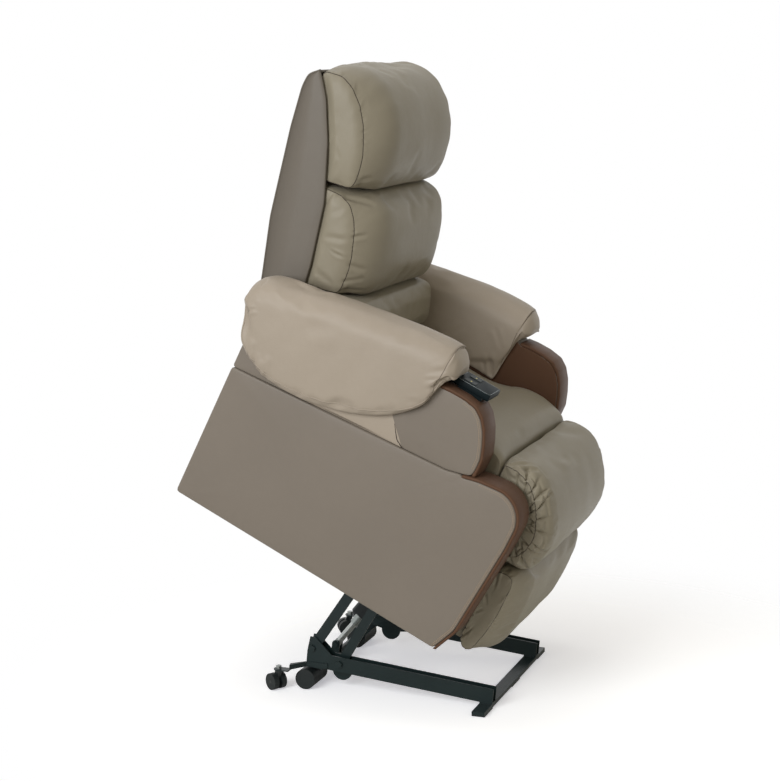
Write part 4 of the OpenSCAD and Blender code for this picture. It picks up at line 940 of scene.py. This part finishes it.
def makeArmPillows():
    table = np.array(drape["stations"], float)
    around, outerCount = drape["around"], drape["around"] - drape["lining"]
    runs = np.concatenate([drape["rearRuns"], np.linspace(4, 480, 46), drape["frontRuns"]])
    for side, hand in handedNames.items():
        rings = np.array([pillowRing([f] + [np.interp(f, table[:, 0], table[:, k]) for k in range(1, 4)]) for f in runs])
        rings[1:-1, :, 2] = 0.5 * rings[1:-1, :, 2] + 0.25 * (rings[:-2, :, 2] + rings[2:, :, 2])
        back, down = drape["shift"][side]
        late = shiftShare(rings[..., 1])
        upperPart = np.clip((rings[..., 2] - drape["upperFrom"]) / drape["upperOver"], 0, 1)
        rings[..., 1] += back * late
        rings[..., 2] += down * late * upperPart
        rings[..., 0] *= side
        name = "armPillow" + hand.capitalize()
        piece = ringForm(name, rings, "armPillow", seatPoints)
        held = np.zeros(len(piece.data.vertices), bool)
        index = np.arange(len(rings) * around) % around
        held[:len(index)] = (index >= outerCount - 2) | (index < 2)
        held[len(index):] = True
        swell(piece, held, drape["pressure"], drape["grow"], drape["cap"] * mm)
        subdivide(piece)
        points = coords(piece) * 1000
        amount = unevenness(points, drape["seed"] + side, *drape["uneven"])
        turn = np.array([-side, 1, 1])
        for start, end, width, depth in drape["folds"]:
            row = seatPoints(np.array([start, end]) * turn + np.array([0, back * shiftShare(start[1]), 0])) * 1000
            amount += crease(points, row[0], row[1], width, depth)
        push(piece, amount * mm)
        points = coords(piece)
        hem = points[[ring * around + 4 for ring in range(3, len(rings) - 3)]]
        settle(piece, "carriage", [f"arm_pillow_{hand}"])
        settle(welt(name + "Hem", hem, drape["hem"] * mm, "armPillow"), "carriage")
        cap = points[[(len(rings) - 8) * around + j for j in range(outerCount - 4)]]
        settle(welt(name + "CapSeam", cap, drape["capSeam"] * mm, "softSeam", False, 6), "carriage")


makeArmPillows()
print("arm pillows made")

# Back: the shell behind and the side panels
backLook = {"half": 262, "wing": (262.3, 272), "shellEdge": 4, "wingEdge": 3, "piping": (271.6, 1.5), "pipingRadius": 2.0}
shellRear = [(-7.6, 28), (-7.6, 274), (-22.5, 432), (-23, 661), (-17.6, 763), (-9, 796), (18, 813)]
shellInner = [(4.4, 28), (4.4, 274), (-10.5, 432), (-11, 661), (-5.6, 760), (1, 790), (20, 808)]
wingFront = [(90, 28), (103, 292), (107, 343), (105, 440), (104, 501), (77, 649), (48, 749), (27, 795), (17, 814)]


def makeBackCovers():
    half, pipingX, pipingOff = backLook["half"], *backLook["piping"]
    shell = bandForm("backShell", shellRear, shellInner, -half, half, "wing", 1, 80, backLook["shellEdge"], backPoints)
    settle(shell, "back", ["back_shell"])
    for side, hand in handedNames.items():
        piece = bandForm("backWing" + hand.capitalize(), wingFront, shellRear, *backLook["wing"], "wing", side, 90,
                         backLook["wingEdge"], backPoints)
        settle(piece, "back", [f"back_wing_{hand}"])
        line = evenLine(shellRear, 120, 2) + np.array([pipingOff, 0])
        row = backPoints(np.column_stack([np.full(len(line), side * pipingX), line]))
        settle(welt("backWingPiping" + hand.capitalize(), row, backLook["pipingRadius"] * mm, "wing"), "back")


makeBackCovers()
print("back covers made")

# Handset: a rounded body with two pockets for its buttons, a bright edge line and a flex boot
handset = {"x": -301, "f": 560, "z": 611.5, "width": 88, "length": 94, "thick": 17, "round": 3.2, "buttons": (-322, -281), "buttonF": 545,
           "pocket": (21.6, 31.6, 6), "line": 0.5, "lineInset": 2.5, "lineDrop": 0.35, "tail": 18, "tailShare": (0.86, 0.5, 0.5),
           "rearPart": 12, "mark": (7, 4, 0.5), "markZ": 621.8}


# A box that lies in the seat's frame
def block(name, x, f, z, size, finish, rounded=0, segments=3):
    turn = (seatPlace["tilt"], 0, 0)
    bpy.ops.mesh.primitive_cube_add(size=1, location=seatPoints([x, f, z]), rotation=turn, scale=[v * mm for v in size])
    piece = bpy.context.object
    piece.name = piece.data.name = name
    bpy.ops.object.transform_apply(location=True, rotation=True, scale=True)
    piece.data.materials.append(finishes[finish])
    if rounded:
        bevel = piece.modifiers.new("rounded", "BEVEL")
        bevel.width = rounded * mm
        bevel.segments = segments
        bpy.ops.object.modifier_apply(modifier="rounded")
        bpy.ops.object.shade_smooth_by_angle(angle=math.radians(35))
    return piece


# Takes a tool's space out of a piece
def cut(piece, tool):
    made = piece.modifiers.new("pocket", "BOOLEAN")
    made.object = tool
    made.solver = "EXACT"
    bpy.context.view_layer.objects.active = piece
    bpy.ops.object.modifier_apply(modifier="pocket")
    bpy.data.objects.remove(tool)


def makeHandset():
    h = handset
    top, rear = h["z"] + h["thick"] / 2, h["f"] - h["length"] / 2
    body = block("handsetBody", h["x"], h["f"], h["z"], (h["width"], h["length"], h["thick"]), "gloss")
    bpy.ops.object.mode_set(mode="EDIT")
    bpy.ops.mesh.select_all(action="DESELECT")
    bpy.ops.object.mode_set(mode="OBJECT")
    behind = seatPoints([0, rear, 600])[1] - h["rearPart"] * mm
    for face in body.data.polygons:
        face.select = all(body.data.vertices[i].co.y > behind for i in face.vertices)
    bpy.ops.object.mode_set(mode="EDIT")
    reach = seatPoints([0, 0, 0]) - seatPoints([0, h["tail"], 0])
    bpy.ops.mesh.extrude_region_move(TRANSFORM_OT_translate={"value": tuple(reach)})
    bottom = seatPoints([h["x"], rear - h["tail"], h["z"] - h["thick"] / 2])
    bpy.ops.transform.resize(value=h["tailShare"], center_override=tuple(bottom))
    bpy.ops.object.mode_set(mode="OBJECT")
    bevel = body.modifiers.new("rounded", "BEVEL")
    bevel.width, bevel.segments = h["round"] * mm, 4
    bpy.ops.object.modifier_apply(modifier="rounded")
    wide, long, deep = h["pocket"]
    for number, x in enumerate(h["buttons"]):
        cut(body, block(f"pocketTool{number}", x, h["buttonF"], top - deep / 2 + 0.5, (wide, long, deep + 1), "gloss"))
    pick(body)
    bpy.ops.object.shade_smooth_by_angle(angle=math.radians(35))
    settle(outward(body), "handset", ["handset"])
    halfWide, halfLong = h["width"] / 2 - h["lineInset"], h["length"] / 2 - h["lineInset"]
    corners = [(h["x"] + sx * halfWide, h["f"] + sf * halfLong) for sx, sf in ((-1, -1), (1, -1), (1, 1), (-1, 1))]
    line = evenLoop(corners, 96, 6)
    row = seatPoints(np.column_stack([line, np.full(96, top - h["lineDrop"])]))
    settle(welt("handsetEdgeLine", row, h["line"] * mm, "tube", True, 6), "handset")
    for number, (x, button) in enumerate(zip(h["buttons"], ("button_up", "button_down"))):
        settle(block(f"buttonMark{number}", x, h["buttonF"], h["markZ"], h["mark"], "mark", 0.2, 2), button)


makeHandset()
print("handset made")

# Finishes of the hard parts
nodeFinish = {
    "steel": ["front_foot_bar", "base_rail_right", "base_rail_left", "rear_cross_tube", "castor_bracket_right", "castor_bracket_left",
              "rear_link_right", "rear_link_left", "front_link_right", "front_link_left", "rear_link_tube", "carriage_side_right",
              "carriage_side_left", "carriage_tubes", "footrest_links", "base_pivot_bolts"],
    "rubber": ["foot_pads", "rear_roller_right", "rear_roller_left", "castor_wheels_right", "castor_wheels_left"],
    "silver": ["lift_rod", "recline_rod", "carriage_bolts"],
    "tube": ["lift_tube"], "motor": ["lift_motor", "recline_motor", "control_box"], "fork": ["castor_fork_right", "castor_fork_left"],
    "timber": ["seat_front_rail", "seat_rear_rail", "back_frame", "back_board"], "pillow": ["footrest_board"],
    "strap": ["seat_webbing"], "panel": ["rear_panel"], "gloss": ["handset_holder"], "button": ["button_up", "button_down"],
}
for finish, names in nodeFinish.items():
    for name in names:
        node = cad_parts[name]
        node.data.materials.clear()
        node.data.materials.append(finishes[finish])

# Stage: pale floor that fades out, soft lights, camera
stageLook = {"floor": (0.95, 0.95, 0.95, 1), "ambient": (0.4, 0.38, 0.315, 1), "floorGlow": (0.4, 0.4, 0.43, 1), "clearFrom": 0.5,
             "clearTo": 1.35}
bpy.ops.mesh.primitive_plane_add(size=40, location=(0, 0, -0.0005))
floor = bpy.context.object
floor.name = "floor"
paper = Finish("floorPaper")
apart = paper.node("ShaderNodeVectorMath", {"operation": "LENGTH"}, out=1, i0=paper.place)
fade = 1 - (apart - stageLook["clearFrom"]) * (1 / (stageLook["clearTo"] - stageLook["clearFrom"]))
fade = fade.maths("MAXIMUM", 0.0).maths("MINIMUM", 1.0)
looked = paper.node("ShaderNodeLightPath", out="Is Camera Ray")
glow = paper.mix(looked, (0, 0, 0, 1), stageLook["floorGlow"])  # the paper looks white to the camera and keeps its shadow
floor.data.materials.append(paper.feed(Base_Color=stageLook["floor"], Roughness=0.95, Specular_IOR_Level=0.05, Emission_Color=glow,
                                       Emission_Strength=1.0, Alpha=soften(fade)))

world = bpy.context.scene.world or bpy.data.worlds.new("surround")
bpy.context.scene.world = world
world.use_nodes = True
tree = world.node_tree
tree.nodes.clear()
rays = tree.nodes.new("ShaderNodeLightPath")
seen = Wire(tree, rays.outputs["Is Camera Ray"])
for kind in ("Is Glossy Ray", "Is Transmission Ray"):
    seen = seen.maths("MAXIMUM", Wire(tree, rays.outputs[kind]))
tint = tree.nodes.new("ShaderNodeMix")
tint.data_type = "RGBA"
tree.links.new(seen.out, tint.inputs[0])
tint.inputs[6].default_value = stageLook["ambient"]
tint.inputs[7].default_value = (1, 1, 1, 1)
surround = tree.nodes.new("ShaderNodeBackground")
tree.links.new(tint.outputs[2], surround.inputs["Color"])
tree.links.new(surround.outputs[0], tree.nodes.new("ShaderNodeOutputWorld").inputs[0])

lights = {
    "keyLight": {"at": (-4.4, 1.3, 2.5), "aim": (0, 0.2, 0.8), "size": 2.4, "power": 168, "colour": (0.96, 0.985, 1)},
    "fillLight": {"at": (-2.2, -4.0, 2.0), "aim": (0, 0.2, 0.7), "size": 2.4, "power": 9, "colour": (1, 0.95, 0.72)},
    "topLight": {"at": (0.2, 0.6, 4.2), "aim": (0, 0.3, 0.8), "size": 2.4, "power": 27, "colour": (0.98, 0.99, 1)},
}
for name, look in lights.items():
    data = bpy.data.lights.new(name, "AREA")
    data.size = look["size"]
    data.energy = look["power"]
    data.color = look["colour"]
    lamp = bpy.data.objects.new(name, data)
    bpy.context.scene.collection.objects.link(lamp)
    lamp.location = look["at"]
    lamp.rotation_euler = (Vector(look["aim"]) - Vector(look["at"])).to_track_quat("-Z", "Y").to_euler()

cameraLook = {"at": (-4.6065, -1.3706, 1.6542), "aim": (0, 0.3317, 0.76135), "roll": -0.345, "lens": 87.81}
data = bpy.data.cameras.new("view")
data.lens = cameraLook["lens"]
data.sensor_width = 36
camera = bpy.data.objects.new("view", data)
bpy.context.scene.collection.objects.link(camera)
turn = (Vector(cameraLook["aim"]) - Vector(cameraLook["at"])).to_track_quat("-Z", "Y").to_matrix().to_4x4()
camera.matrix_world = Matrix.Translation(cameraLook["at"]) @ turn @ Matrix.Rotation(math.radians(cameraLook["roll"]), 4, "Z")
bpy.context.scene.camera = camera
bpy.context.scene.view_settings.view_transform = "Standard"
print("stage made")
